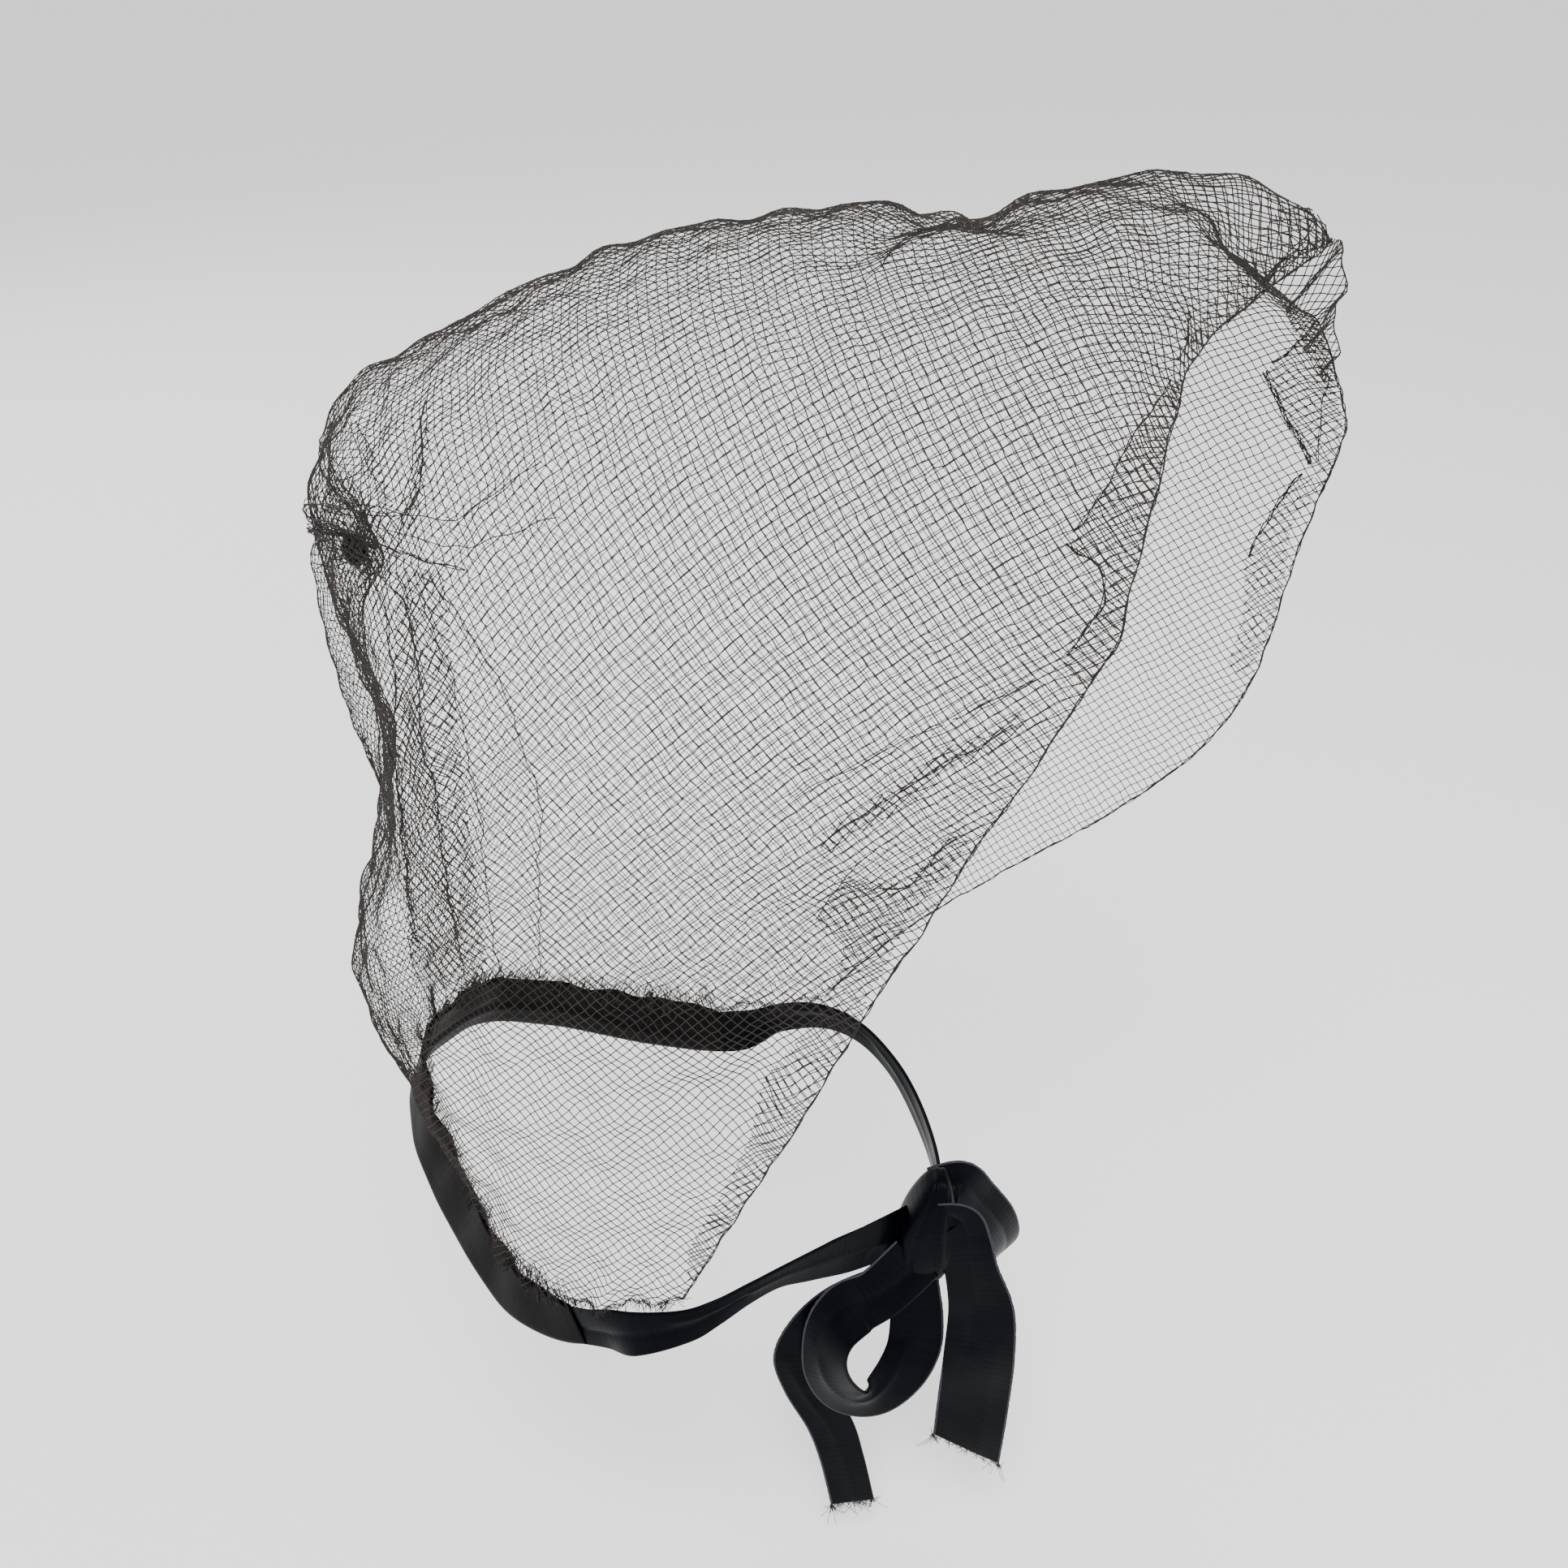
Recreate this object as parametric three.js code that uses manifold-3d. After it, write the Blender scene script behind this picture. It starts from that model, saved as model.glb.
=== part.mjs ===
// A net hair bonnet in its worn form: a hood of fine net with a peaked front edge, tied in at the back,
// gathered into a ribbon casing round the nape, and closed under the front opening by a ribbon bow.
// Millimetres, +Z up. The front opening looks along -Y, and the bonnet's right side as worn is at -X.
// The origin is the top of the crown, on the underside of the net, where the bonnet is seated.
import * as THREE from 'three';
import { mergeVertices } from 'three/addons/utils/BufferGeometryUtils.js';
import Module from 'manifold-3d';

// A table's rows as objects, with a value for each named column.
function table(columns, rows) {
  const names = columns.split(' ');
  return rows.map((row) => Object.fromEntries(names.map((name, k) => [name, row[k]])));
}

// Driving dimensions
const NET_WALL = 1.0;
const EDGE_WALL = 2.2;
const EDGE_TURN = 0.09;
const RIBBON_WALL = 1.0;
const CASING_TALL = 16.5;
const CASING_LEAN_BACK = -0.35;
const CASING_LEAN_SIDE = 0.12;
const CASING_CENTRE = 40;
const CASING_STEPS = 24;
const CASING_STEP = 1 / CASING_STEPS;
const TIE_START = 0.9;
const TIE_STRAIGHT = 8;
const GAP = 0.3;
const SAME_PLACE = 1e-4;
const HOOD_STEPS = 38;
const ARCH_STEPS = 26;
const ARC_SHARE = 0.4;
const PEAK_REACH = 25;
const PEAK_WIDE = 17;
const PEAK_LIFT = 16;
const PEAK_DEEP = 0.12;

// Each row is an arch of the hood, from the front edge to the nape: its top point on the crown line, its
// widest point at the side, and its end on the ribbon casing.
const ARCHES = table('crownY crownZ half sideY sideZ hemX hemY hemZ', [
  [-108, -12, 76, -101, -66, 76, 4, -290], // front edge
  [-88, 9, 79, -80, -68, 76.5, 17, -296], // brow
  [-52, 7, 83, -46, -70, 76, 31, -300], // dimple
  [-8, 2, 87, -8, -76, 74, 46, -304], // crown
  [40, -9, 88, 30, -91, 70, 58, -303], // crown back
  [84, -32, 86, 62, -111, 64, 68, -299], // top slope
  [117, -55, 78, 88, -141, 54, 80, -292], // bulge top
  [130, -93, 64, 103, -176, 42, 93, -284], // bulge
  [124, -140, 46, 109, -211, 30, 104, -278], // fall
  [117, -198, 26, 113, -244, 16, 112, -275], // nape fall
  [117, -272, 3, 117, -273, 5, 116, -274], // nape
]);

// Each row is a place where the net stands off or is drawn in: its centre, its reach each way, and the
// push that it gives the net there.
const PUFFS = table('x y z reachX reachY reachZ pushX pushY pushZ', [
  [22, 125, -138, 30, 70, 74, 0, 26, 0], // far back puff
  [-25, 112, -138, 34, 50, 52, 0, -20, 0], // near back hollow
  [-62, 100, -123, 30, 60, 44, 4, -20, 0], // near corner hollow
  [-2, 125, -96, 16, 60, 18, 0, -22, 0], // tied gather
  [80, -100, -53, 66, 110, 60, 2, -32, 0], // left brow reach
  [80, -90, -170, 66, 110, 86, 0, -77, 0], // left cheek reach
  [-28, 120, -218, 22, 40, 18, -2, 10, -3], // nape puff
  [22, -46, 8, 34, 12, 30, 0, 0, -6], // crown dimple
  [48, 96, -288, 30, 40, 40, 3, 14, 0], // left nape
]);

// Each row is a crease in the net: a line from one point to another, its width and its depth.
const CREASES = table('fromX fromY fromZ toX toY toZ wide deep', [
  [-4, -136, -2, -36, -106, -24, 7, 4], // front gather
  [-80, -76, -124, -82, -30, -156, 13, 4.5], // cheek fold
  [-78, -52, -166, -78, -10, -211, 13, 4.5], // jaw fold
  [30, -46, 2, -24, -30, 4, 9, 4], // crown crease
]);

// Folds that run out from the tied gather at the back.
const TIED = { x: -3, z: -98 };
const TIED_RADIUS = 4;
const TIED_STAND = 2.5;
const TIED_BACK = 27 / HOOD_STEPS;
const TIED_ACROSS = 0;
const RAY_FOLDS = 9;
const RAY_DEEP = 3.2;
const RAY_RISE = 26;
const RAY_FADE = 95;
const RAY_START = 80;
const RAY_BLEND = 8;

// Gathers where the net meets the ribbon casing.
const GATHER_PITCH = 21;
const GATHER_DEEP = 1.8;
const GATHER_FADE = 34;
const GATHER_START = 0.2;

// How far back along the hood's lower edge the tie is sewn to the casing.
const JOIN_BACK = 0.26;

// The ties run on from the casing's ends: middle line, width, and lean of the width away from upright.
const TIE_RIGHT = table('x y z wide lean', [
  [-79, 18, -305, 14, -14],
  [-78, 3, -299, 11, -6],
  [-74, -6, -295, 9.5, 0],
  [-66, -14, -293, 8, 0],
  [-55, -21, -295, 8, 0],
  [-42, -29, -300, 12, 0],
  [-28, -39, -304, 17, 0],
  [-15, -52, -304, 20, 0],
]);
const TIE_LEFT = table('x y z wide lean', [
  [80, 17, -306, 14, 14],
  [76, 0, -299, 11, 6],
  [66, -17, -296, 9, 0],
  [50, -33, -297, 9, 0],
  [30, -46, -300, 11, 0],
  [10, -55, -302, 13, 0],
  [-8, -59, -303, 14, 0],
]);

// The bow has a frame of its own at the knot: along points to the front, up is up, and out points to the
// bonnet's right side. tilt turns a ribbon's width out of the plane of the bow.
const BOW = { x: -12, y: -56, z: -304, turn: -75 };
const KNOT_SIDES = 18;
const KNOT_RINGS = 12;
const KNOT = { along: 0, up: -1, out: 3, halfAlong: 9, halfUp: 18, halfOut: 9, square: 0.6 };
const LOOP_RIGHT = table('along up out wide tilt', [
  [-3, -6, 10, 19, 6],
  [-14.5, -16.8, 14, 18, 14],
  [-23.5, -21.5, 16, 19, 22],
  [-30, -29, 18, 17, 32],
  [-32, -40, 18, 16.5, 34],
  [-30, -53, 17, 18, 26],
  [-24, -64, 15, 19, 18],
  [-15.5, -66.5, 13, 19, 10],
  [-7, -60.5, 9, 19, 4],
  [-2, -51, 5, 18, 0],
  [-1.3, -38.5, 2, 17, -4],
  [-1.9, -27, 0, 15, -6],
  [-2.8, -13, -2, 13, -6],
]);
const LOOP_LEFT = table('along up out wide tilt', [
  [1, 15, 1, 13, -30],
  [11, 16, 0, 14, -40],
  [18, 5, -3, 15, -44],
  [24.5, -8, -6, 16, -44],
  [27, -21, -10, 16, -46],
  [24, -30, -14, 16, -56],
  [17, -32, -17, 15, -68],
  [11, -27, -15, 13, -74],
  [6.5, -21, -10, 12, -76],
  [2, -15, -4, 12, -78],
]);
const TAIL_RIGHT = table('along up out wide tilt', [
  [-2, -17, 2, 11, 0],
  [-14, -22, 4, 12.5, 0],
  [-27, -29, 6, 14, 2],
  [-36, -39.5, 7, 14.5, 4],
  [-41, -53, 7.5, 14.5, 6],
  [-37.5, -67.5, 7.5, 15, 6],
  [-29.5, -84.5, 7.5, 15.5, 2],
  [-25, -102, 7.5, 15, 0],
  [-21, -124.5, 7, 15, 0],
]);
const TAIL_LEFT = table('along up out wide tilt', [
  [2, 9, 9, 14, 0],
  [9, 10, 11, 15, 0],
  [12, 2, 11, 15.5, 0],
  [14.5, -11, 10.5, 17, 4],
  [18.5, -29, 10, 21, 6],
  [19, -50, 9.5, 23, 4],
  [18.5, -71.5, 8, 24, 0],
  [17.5, -98.5, 6, 24, 0],
]);
const TAIL_SLANT = 16;
const SLANT_SHARE = 0.25;
const TIE_STEPS = 24;
const LOOP_RIGHT_STEPS = 36;
const LOOP_LEFT_STEPS = 30;
const TAIL_STEPS = 18;

// Interpolates every numeric column of a table at a place between 0 and 1, along a smooth curve.
function rowAt(list, place) {
  const last = list.length - 1;
  const whole = Math.min(last - 1, Math.max(0, Math.floor(place * last)));
  const part = place * last - whole;
  const rows = [-1, 0, 1, 2].map((step) => list[Math.min(last, Math.max(0, whole + step))]);
  const result = {};
  for (const key of Object.keys(rows[1])) {
    const [a, b, c, d] = rows.map((row) => row[key]);
    const bend = (2 * a - 5 * b + 4 * c - d) * part * part + (3 * b - a - 3 * c + d) * part ** 3;
    result[key] = b + 0.5 * ((c - a) * part + bend);
  }
  return result;
}

const bell = (distance) => Math.exp(-distance * distance);

// Moves a point of the plain form by every puff and hollow.
function puffed(point) {
  const moved = point.clone();
  for (const puff of PUFFS) {
    const away = Math.hypot((point.x - puff.x) / puff.reachX, (point.y - puff.y) / puff.reachY,
      (point.z - puff.z) / puff.reachZ);
    const share = bell(away);
    moved.x += puff.pushX * share;
    moved.y += puff.pushY * share;
    moved.z += puff.pushZ * share;
  }
  return moved;
}

// The hood without its creases: back runs from the front edge (0) to the nape (1), across from the right
// end on the casing (-1) over the crown (0) to the left end (1).
function hoodForm(back, across) {
  const arch = rowAt(ARCHES, back);
  const side = Math.sign(across);
  const share = Math.abs(across);
  const point = new THREE.Vector3();
  if (share < ARC_SHARE) {
    const angle = (Math.PI / 2) * (share / ARC_SHARE);
    const fall = 1 - Math.cos(angle);
    point.x = side * arch.half * Math.sin(angle);
    point.y = arch.crownY + (arch.sideY - arch.crownY) * fall;
    point.z = arch.crownZ + (arch.sideZ - arch.crownZ) * fall;
  } else {
    const fall = (share - ARC_SHARE) / (1 - ARC_SHARE);
    point.x = side * (arch.half + (arch.hemX - arch.half) * fall * fall);
    point.y = arch.sideY + (arch.hemY - arch.sideY) * fall;
    point.z = arch.sideZ + (arch.hemZ - arch.sideZ) * fall;
  }
  const peak = bell(point.x / PEAK_WIDE) * bell(back / PEAK_DEEP);
  point.y -= PEAK_REACH * peak;
  point.z += PEAK_LIFT * peak;
  return puffed(point);
}

function formNormal(back, across) {
  const step = 0.004;
  const b0 = Math.max(0, back - step);
  const b1 = Math.min(1, back + step);
  const a0 = Math.max(-1, across - step);
  const a1 = Math.min(1, across + step);
  const alongBack = hoodForm(b1, across).sub(hoodForm(b0, across));
  const alongArch = hoodForm(back, a1).sub(hoodForm(back, a0));
  return alongArch.cross(alongBack).normalize();
}

function creaseDepth(point) {
  let depth = 0;
  const from = new THREE.Vector3();
  const to = new THREE.Vector3();
  const nearest = new THREE.Vector3();
  for (const crease of CREASES) {
    from.set(crease.fromX, crease.fromY, crease.fromZ);
    to.set(crease.toX, crease.toY, crease.toZ);
    new THREE.Line3(from, to).closestPointToPoint(point, true, nearest);
    depth += crease.deep * bell(nearest.distanceTo(point) / crease.wide);
  }
  return depth;
}

function rayFold(point) {
  const away = Math.hypot(point.x - TIED.x, point.z - TIED.z);
  const angle = Math.atan2(point.x - TIED.x, point.z - TIED.z);
  const behind = 1 / (1 + Math.exp(-(point.y - RAY_START) / RAY_BLEND));
  const swell = Math.tanh(away / RAY_RISE) * bell(away / RAY_FADE) * behind;
  return RAY_DEEP * Math.cos(RAY_FOLDS * angle) * swell;
}

function gatherFold(back, across, point) {
  const hem = hoodForm(back, Math.sign(across) || 1);
  const away = point.distanceTo(hem);
  const along = hem.y * Math.sign(across || 1) + hem.x;
  const held = Math.min(1, back / GATHER_START);
  return GATHER_DEEP * held * Math.cos((2 * Math.PI * along) / GATHER_PITCH) * bell(away / GATHER_FADE);
}

function hoodPoint(back, across) {
  const point = hoodForm(back, across);
  const out = rayFold(point) + gatherFold(back, across, point) - creaseDepth(point);
  return point.addScaledVector(formNormal(back, across), out);
}

// A geometry with its positions only, each shared by the faces round it.
function plainMesh(geometry) {
  geometry.deleteAttribute('normal');
  geometry.deleteAttribute('uv');
  return mergeVertices(geometry, SAME_PLACE);
}

// A closed wall from a grid of points and their outward directions. Rows run one way, columns the other.
function wallGeometry(points, normals, wallAt) {
  const rows = points.length;
  const columns = points[0].length;
  const positions = [];
  const faces = [];
  for (const side of [0.5, -0.5]) {
    for (let r = 0; r < rows; r += 1) {
      for (let c = 0; c < columns; c += 1) {
        const at = points[r][c].clone().addScaledVector(normals[r][c], side * wallAt(r, c));
        positions.push(at.x, at.y, at.z);
      }
    }
  }
  const inner = rows * columns;
  const outerAt = (r, c) => r * columns + c;
  const innerAt = (r, c) => inner + outerAt(r, c);
  const quad = (a, b, c, d) => faces.push(a, b, c, a, c, d);
  for (let r = 0; r < rows - 1; r += 1) {
    for (let c = 0; c < columns - 1; c += 1) {
      quad(outerAt(r, c), outerAt(r, c + 1), outerAt(r + 1, c + 1), outerAt(r + 1, c));
      quad(innerAt(r, c), innerAt(r + 1, c), innerAt(r + 1, c + 1), innerAt(r, c + 1));
    }
    quad(outerAt(r, 0), outerAt(r + 1, 0), innerAt(r + 1, 0), innerAt(r, 0));
    quad(outerAt(r + 1, columns - 1), outerAt(r, columns - 1), innerAt(r, columns - 1),
      innerAt(r + 1, columns - 1));
  }
  for (let c = 0; c < columns - 1; c += 1) {
    quad(outerAt(0, c + 1), outerAt(0, c), innerAt(0, c), innerAt(0, c + 1));
    quad(outerAt(rows - 1, c), outerAt(rows - 1, c + 1), innerAt(rows - 1, c + 1), innerAt(rows - 1, c));
  }
  const geometry = new THREE.BufferGeometry();
  geometry.setAttribute('position', new THREE.Float32BufferAttribute(positions, 3));
  geometry.setIndex(faces);
  return plainMesh(geometry);
}

// Normals of a grid of points, from the points around each one.
function gridNormals(points) {
  const last = points.length - 1;
  return points.map((row, r) => row.map((_, c) => {
    const down = points[Math.min(last, r + 1)][c].clone().sub(points[Math.max(0, r - 1)][c]);
    const over = row[Math.min(row.length - 1, c + 1)].clone().sub(row[Math.max(0, c - 1)]);
    return over.cross(down).normalize();
  }));
}

function netHood() {
  const points = [];
  for (let r = 0; r <= HOOD_STEPS; r += 1) {
    const back = r / HOOD_STEPS;
    const row = [];
    for (let c = -ARCH_STEPS; c <= ARCH_STEPS; c += 1) row.push(hoodPoint(back, c / ARCH_STEPS));
    points.push(row);
  }
  const normals = gridNormals(points);
  const wallAt = (r) => NET_WALL + (EDGE_WALL - NET_WALL) * bell(r / HOOD_STEPS / EDGE_TURN);
  return wallGeometry(points, normals, wallAt);
}

// The line of the hood's lower edge, from the right side (-1) over the nape (0) to the left side (1).
function hemPoint(round) {
  const back = 1 - (1 - JOIN_BACK) * Math.abs(round);
  const hem = hoodForm(back, round < 0 ? -1 : 1);
  if (round === 0) hem.x = 0;
  return hem;
}

// The casing hangs square to that line: its top point there, the way along it and the way down.
function casingSection(round) {
  const top = hemPoint(round);
  const before = hemPoint(Math.max(-1, round - CASING_STEP));
  const along = hemPoint(Math.min(1, round + CASING_STEP)).sub(before).normalize();
  const lean = CASING_LEAN_BACK + (CASING_LEAN_SIDE - CASING_LEAN_BACK) * round ** 2;
  const down = new THREE.Vector3(0, CASING_CENTRE, top.z).sub(top).normalize().multiplyScalar(lean);
  down.z -= 1;
  down.addScaledVector(along, -down.dot(along)).normalize();
  return { top: top.addScaledVector(down, NET_WALL), along, down };
}

function napeBand() {
  const points = [];
  for (let k = -CASING_STEPS; k <= CASING_STEPS; k += 1) {
    const { top, down } = casingSection(k / CASING_STEPS);
    points.push([0, 0.5, 1].map((share) => top.clone().addScaledVector(down, share * CASING_TALL)));
  }
  return wallGeometry(points, gridNormals(points), () => RIBBON_WALL);
}

// A tie's rows: one in line with the casing's end and a gap in front of it, then those of its table.
function tieRows(rows, side) {
  const { top, along, down } = casingSection(side);
  const start = top.addScaledVector(down, CASING_TALL / 2);
  const lean = THREE.MathUtils.radToDeg(Math.asin(-down.x * side)) * side;
  return [TIE_START, TIE_STRAIGHT].map((away) => {
    const at = start.clone().addScaledVector(along, side * away);
    return { x: at.x, y: at.y, z: at.z, wide: CASING_TALL, lean: -lean };
  }).concat(rows);
}

// A ribbon along a table's rows: each cross-section has a middle point and a direction for its width.
function ribbonGeometry(rows, steps, pointAt, widthAt, endSlant = 0) {
  const middle = [];
  for (let k = 0; k <= steps; k += 1) middle.push(pointAt(rowAt(rows, k / steps)));
  const points = middle.map((point, k) => {
    const before = middle[Math.max(0, k - 1)];
    const after = middle[Math.min(steps, k + 1)];
    const run = after.clone().sub(before).normalize();
    const row = rowAt(rows, k / steps);
    const width = widthAt(run, row).multiplyScalar(row.wide / 2);
    width.addScaledVector(run, (endSlant / 2) * bell((1 - k / steps) / SLANT_SHARE));
    return [-1, 0, 1].map((side) => point.clone().addScaledVector(width, side));
  });
  return wallGeometry(points, gridNormals(points), () => RIBBON_WALL);
}

const radians = THREE.MathUtils.degToRad;
const UP = new THREE.Vector3(0, 0, 1);
const bowAlong = new THREE.Vector3(Math.cos(radians(BOW.turn)), Math.sin(radians(BOW.turn)), 0);
const bowOut = new THREE.Vector3(Math.sin(radians(BOW.turn)), -Math.cos(radians(BOW.turn)), 0);

function bowPoint(row) {
  return new THREE.Vector3(BOW.x, BOW.y, BOW.z).addScaledVector(bowAlong, row.along)
    .addScaledVector(UP, row.up).addScaledVector(bowOut, row.out);
}

function bowWidth(run, row) {
  const flat = bowOut.clone().cross(run).normalize();
  const proud = run.clone().cross(flat).normalize();
  const tilt = radians(row.tilt);
  return flat.multiplyScalar(Math.cos(tilt)).addScaledVector(proud, Math.sin(tilt));
}

const tiePoint = (row) => new THREE.Vector3(row.x, row.y, row.z);

function tieWidth(run, row) {
  const upright = UP.clone().addScaledVector(run, -UP.dot(run)).normalize();
  return upright.applyAxisAngle(run, radians(row.lean));
}

// The knot is a rounded block in the bow's frame, larger by grow all round.
function knotGeometry(grow) {
  const ball = plainMesh(new THREE.SphereGeometry(1, KNOT_SIDES, KNOT_RINGS));
  const spots = ball.attributes.position;
  const rounded = (value) => Math.sign(value) * Math.abs(value) ** KNOT.square;
  for (let k = 0; k < spots.count; k += 1) {
    const at = bowPoint({
      along: KNOT.along + rounded(spots.getX(k)) * (KNOT.halfAlong + grow),
      up: KNOT.up + rounded(spots.getY(k)) * (KNOT.halfUp + grow),
      out: KNOT.out + rounded(spots.getZ(k)) * (KNOT.halfOut + grow),
    });
    spots.setXYZ(k, at.x, at.y, at.z);
  }
  return ball;
}

// The tight knot of net and thread that holds the gather at the back, seated on the net.
function gatherKnot() {
  const seat = hoodPoint(TIED_BACK, TIED_ACROSS);
  const centre = seat.clone().addScaledVector(formNormal(TIED_BACK, TIED_ACROSS),
    TIED_RADIUS + TIED_STAND);
  const ball = new THREE.IcosahedronGeometry(TIED_RADIUS, 2);
  return plainMesh(ball.translate(centre.x, centre.y, centre.z));
}

const wasm = await Module();
wasm.setup();

function solidOf(geometry) {
  const vertProperties = new Float32Array(geometry.attributes.position.array);
  const triVerts = new Uint32Array(geometry.index.array);
  return new wasm.Manifold(new wasm.Mesh({ numProp: 3, vertProperties, triVerts }));
}

// Cuts a ribbon back from the knot, and keeps the largest body.
function clearOfKnot(geometry) {
  const cut = solidOf(geometry).subtract(solidOf(knotGeometry(GAP)));
  const bodies = cut.decompose().sort((one, other) => other.volume() - one.volume());
  const mesh = bodies[0].getMesh();
  const result = new THREE.BufferGeometry();
  result.setAttribute('position', new THREE.BufferAttribute(new Float32Array(mesh.vertProperties), 3));
  result.setIndex(new THREE.BufferAttribute(new Uint32Array(mesh.triVerts), 1));
  return result;
}

const material = (color, roughness) => new THREE.MeshStandardMaterial({ color, roughness, metalness: 0 });
const NET = material(0x2a2322, 0.75);
const SATIN = material(0x0b0b0e, 0.4);

const group = new THREE.Group();

function add(name, geometry, look) {
  const mesh = new THREE.Mesh(geometry, look);
  mesh.name = name;
  group.add(mesh);
}

function addRibbon(name, rows, steps, pointAt, widthAt, endSlant) {
  add(name, clearOfKnot(ribbonGeometry(rows, steps, pointAt, widthAt, endSlant)), SATIN);
}

add('net_hood', netHood(), NET);
add('gather_knot', gatherKnot(), NET);
add('nape_band', napeBand(), SATIN);
addRibbon('tie_right', tieRows(TIE_RIGHT, -1), TIE_STEPS, tiePoint, tieWidth);
addRibbon('tie_left', tieRows(TIE_LEFT, 1), TIE_STEPS, tiePoint, tieWidth);
add('bow_knot', knotGeometry(0), SATIN);
addRibbon('loop_right', LOOP_RIGHT, LOOP_RIGHT_STEPS, bowPoint, bowWidth);
addRibbon('loop_left', LOOP_LEFT, LOOP_LEFT_STEPS, bowPoint, bowWidth);
addRibbon('tail_right', TAIL_RIGHT, TAIL_STEPS, bowPoint, bowWidth);
addRibbon('tail_left', TAIL_LEFT, TAIL_STEPS, bowPoint, bowWidth, TAIL_SLANT);

export default group;
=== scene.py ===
# %% [markdown]
# This scene dresses a fine net hair bonnet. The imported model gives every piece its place, in metres, with
# +Z up. The hood is knotted net, and its casing, ties and bow are black satin ribbon. Nothing here moves
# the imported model. Each cell adds one piece and prints what it made.

# %% Load the frame
import math
import bmesh
import bpy
import numpy as np
from mathutils import Matrix, Vector
from mathutils.bvhtree import BVHTree
from mathutils.kdtree import KDTree


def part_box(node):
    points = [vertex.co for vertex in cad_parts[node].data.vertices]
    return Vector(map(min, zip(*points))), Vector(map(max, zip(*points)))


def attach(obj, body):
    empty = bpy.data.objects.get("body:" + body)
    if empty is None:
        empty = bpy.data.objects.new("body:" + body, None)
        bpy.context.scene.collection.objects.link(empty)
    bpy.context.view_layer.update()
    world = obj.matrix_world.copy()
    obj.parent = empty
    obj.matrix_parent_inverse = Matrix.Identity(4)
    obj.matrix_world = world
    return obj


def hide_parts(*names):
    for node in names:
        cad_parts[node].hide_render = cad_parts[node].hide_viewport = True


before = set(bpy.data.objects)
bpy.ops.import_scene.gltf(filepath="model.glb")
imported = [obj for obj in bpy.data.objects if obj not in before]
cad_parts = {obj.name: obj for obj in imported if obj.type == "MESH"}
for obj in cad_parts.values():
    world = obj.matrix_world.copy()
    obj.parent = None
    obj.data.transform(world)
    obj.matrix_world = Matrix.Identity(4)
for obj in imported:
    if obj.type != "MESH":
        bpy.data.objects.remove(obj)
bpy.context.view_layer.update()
MM = 0.001

# %% [markdown]
# The camera stands where the photograph was taken from: a little above the bonnet's right side, looking
# down at it. Its place is known in the frame, so a pixel of the photograph can be followed as a ray onto
# the hood. That is how the creases and folds get their places: as a few points each, read off the photograph.
# The image is taken to be 1932 pixels wide, and the picture's middle is the lens's middle.

# %% Camera
PICTURE = 1932
FOCAL = 2200
CAMERA_AT = np.array([-430.3, -121.7, 99.5])
AZIMUTH = math.radians(-75)
ELEVATION = math.radians(30)
RIGHT = np.array([math.cos(AZIMUTH), math.sin(AZIMUTH), 0])
BACK = np.array([
    math.sin(AZIMUTH) * math.cos(ELEVATION),
    -math.cos(AZIMUTH) * math.cos(ELEVATION),
    math.sin(ELEVATION),
])
UP = np.cross(BACK, RIGHT)


def put(name, data):
    """A new object of the scene."""
    made = bpy.data.objects.new(name, data)
    bpy.context.collection.objects.link(made)
    return made


camera_data = bpy.data.cameras.new("camera")
camera_data.sensor_width = 36
camera_data.lens = camera_data.sensor_width * FOCAL / PICTURE
camera_data.clip_start = 0.01
camera = put("camera", camera_data)
axes = Matrix(np.stack([RIGHT, UP, BACK]).T.tolist()).to_4x4()
camera.matrix_world = Matrix.Translation(CAMERA_AT * MM) @ axes
bpy.context.scene.camera = camera
print("lens", round(camera_data.lens, 2), "mm")

# %% [markdown]
# A few short functions serve every later step. They measure and ease lines of points, tell where a point
# falls in the photograph, and give the direction of the ray through a pixel.

# %% Lines and rays
def size_of(vectors):
    return np.linalg.norm(vectors, axis=-1)


def unit(vectors):
    return vectors / np.maximum(np.linalg.norm(vectors, axis=-1, keepdims=True), 1e-9)


def bell(distance):
    return np.exp(-distance * distance)


def smooth_step(value):
    value = np.clip(value, 0, 1)
    return value * value * (3 - 2 * value)


def lengths_along(points):
    """How far along a line each of its points lies."""
    return np.concatenate([[0], np.cumsum(size_of(np.diff(points, axis=0)))])


def smoothed(values, rounds=2):
    """A line of values, eased along its length with its ends kept."""
    values = np.array(values, float)
    for _ in range(rounds):
        values[1:-1] = (values[:-2] + 2 * values[1:-1] + values[2:]) / 4
    return values


def picture_of(points):
    """Where points in millimetres fall in the photograph, in pixels."""
    away = points - CAMERA_AT
    depth = -away @ BACK
    middle = PICTURE / 2
    return np.stack([
        middle + FOCAL * (away @ RIGHT) / depth,
        middle - FOCAL * (away @ UP) / depth,
    ], -1)


def ray_way(pixel):
    """The direction from the camera through a pixel."""
    return unit((pixel[0] - PICTURE / 2) * RIGHT - (pixel[1] - PICTURE / 2) * UP - FOCAL * BACK)


print("the picture's middle looks along", ray_way((PICTURE / 2, PICTURE / 2)).round(3))

# %% [markdown]
# The hood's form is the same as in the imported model: arches from the front edge to the nape, each with a
# top point on the crown line, a widest point at the side and an end on the ribbon casing, plus the
# places where the net stands off or is drawn in. It is written as a function of two numbers, back and
# across, because threads can then be laid on it one by one. Every table here is in millimetres.

# %% Form of the hood
ARC_SHARE = 0.4
PEAK_REACH = 25
PEAK_WIDE = 17
PEAK_LIFT = 16
PEAK_DEEP = 0.12

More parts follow.
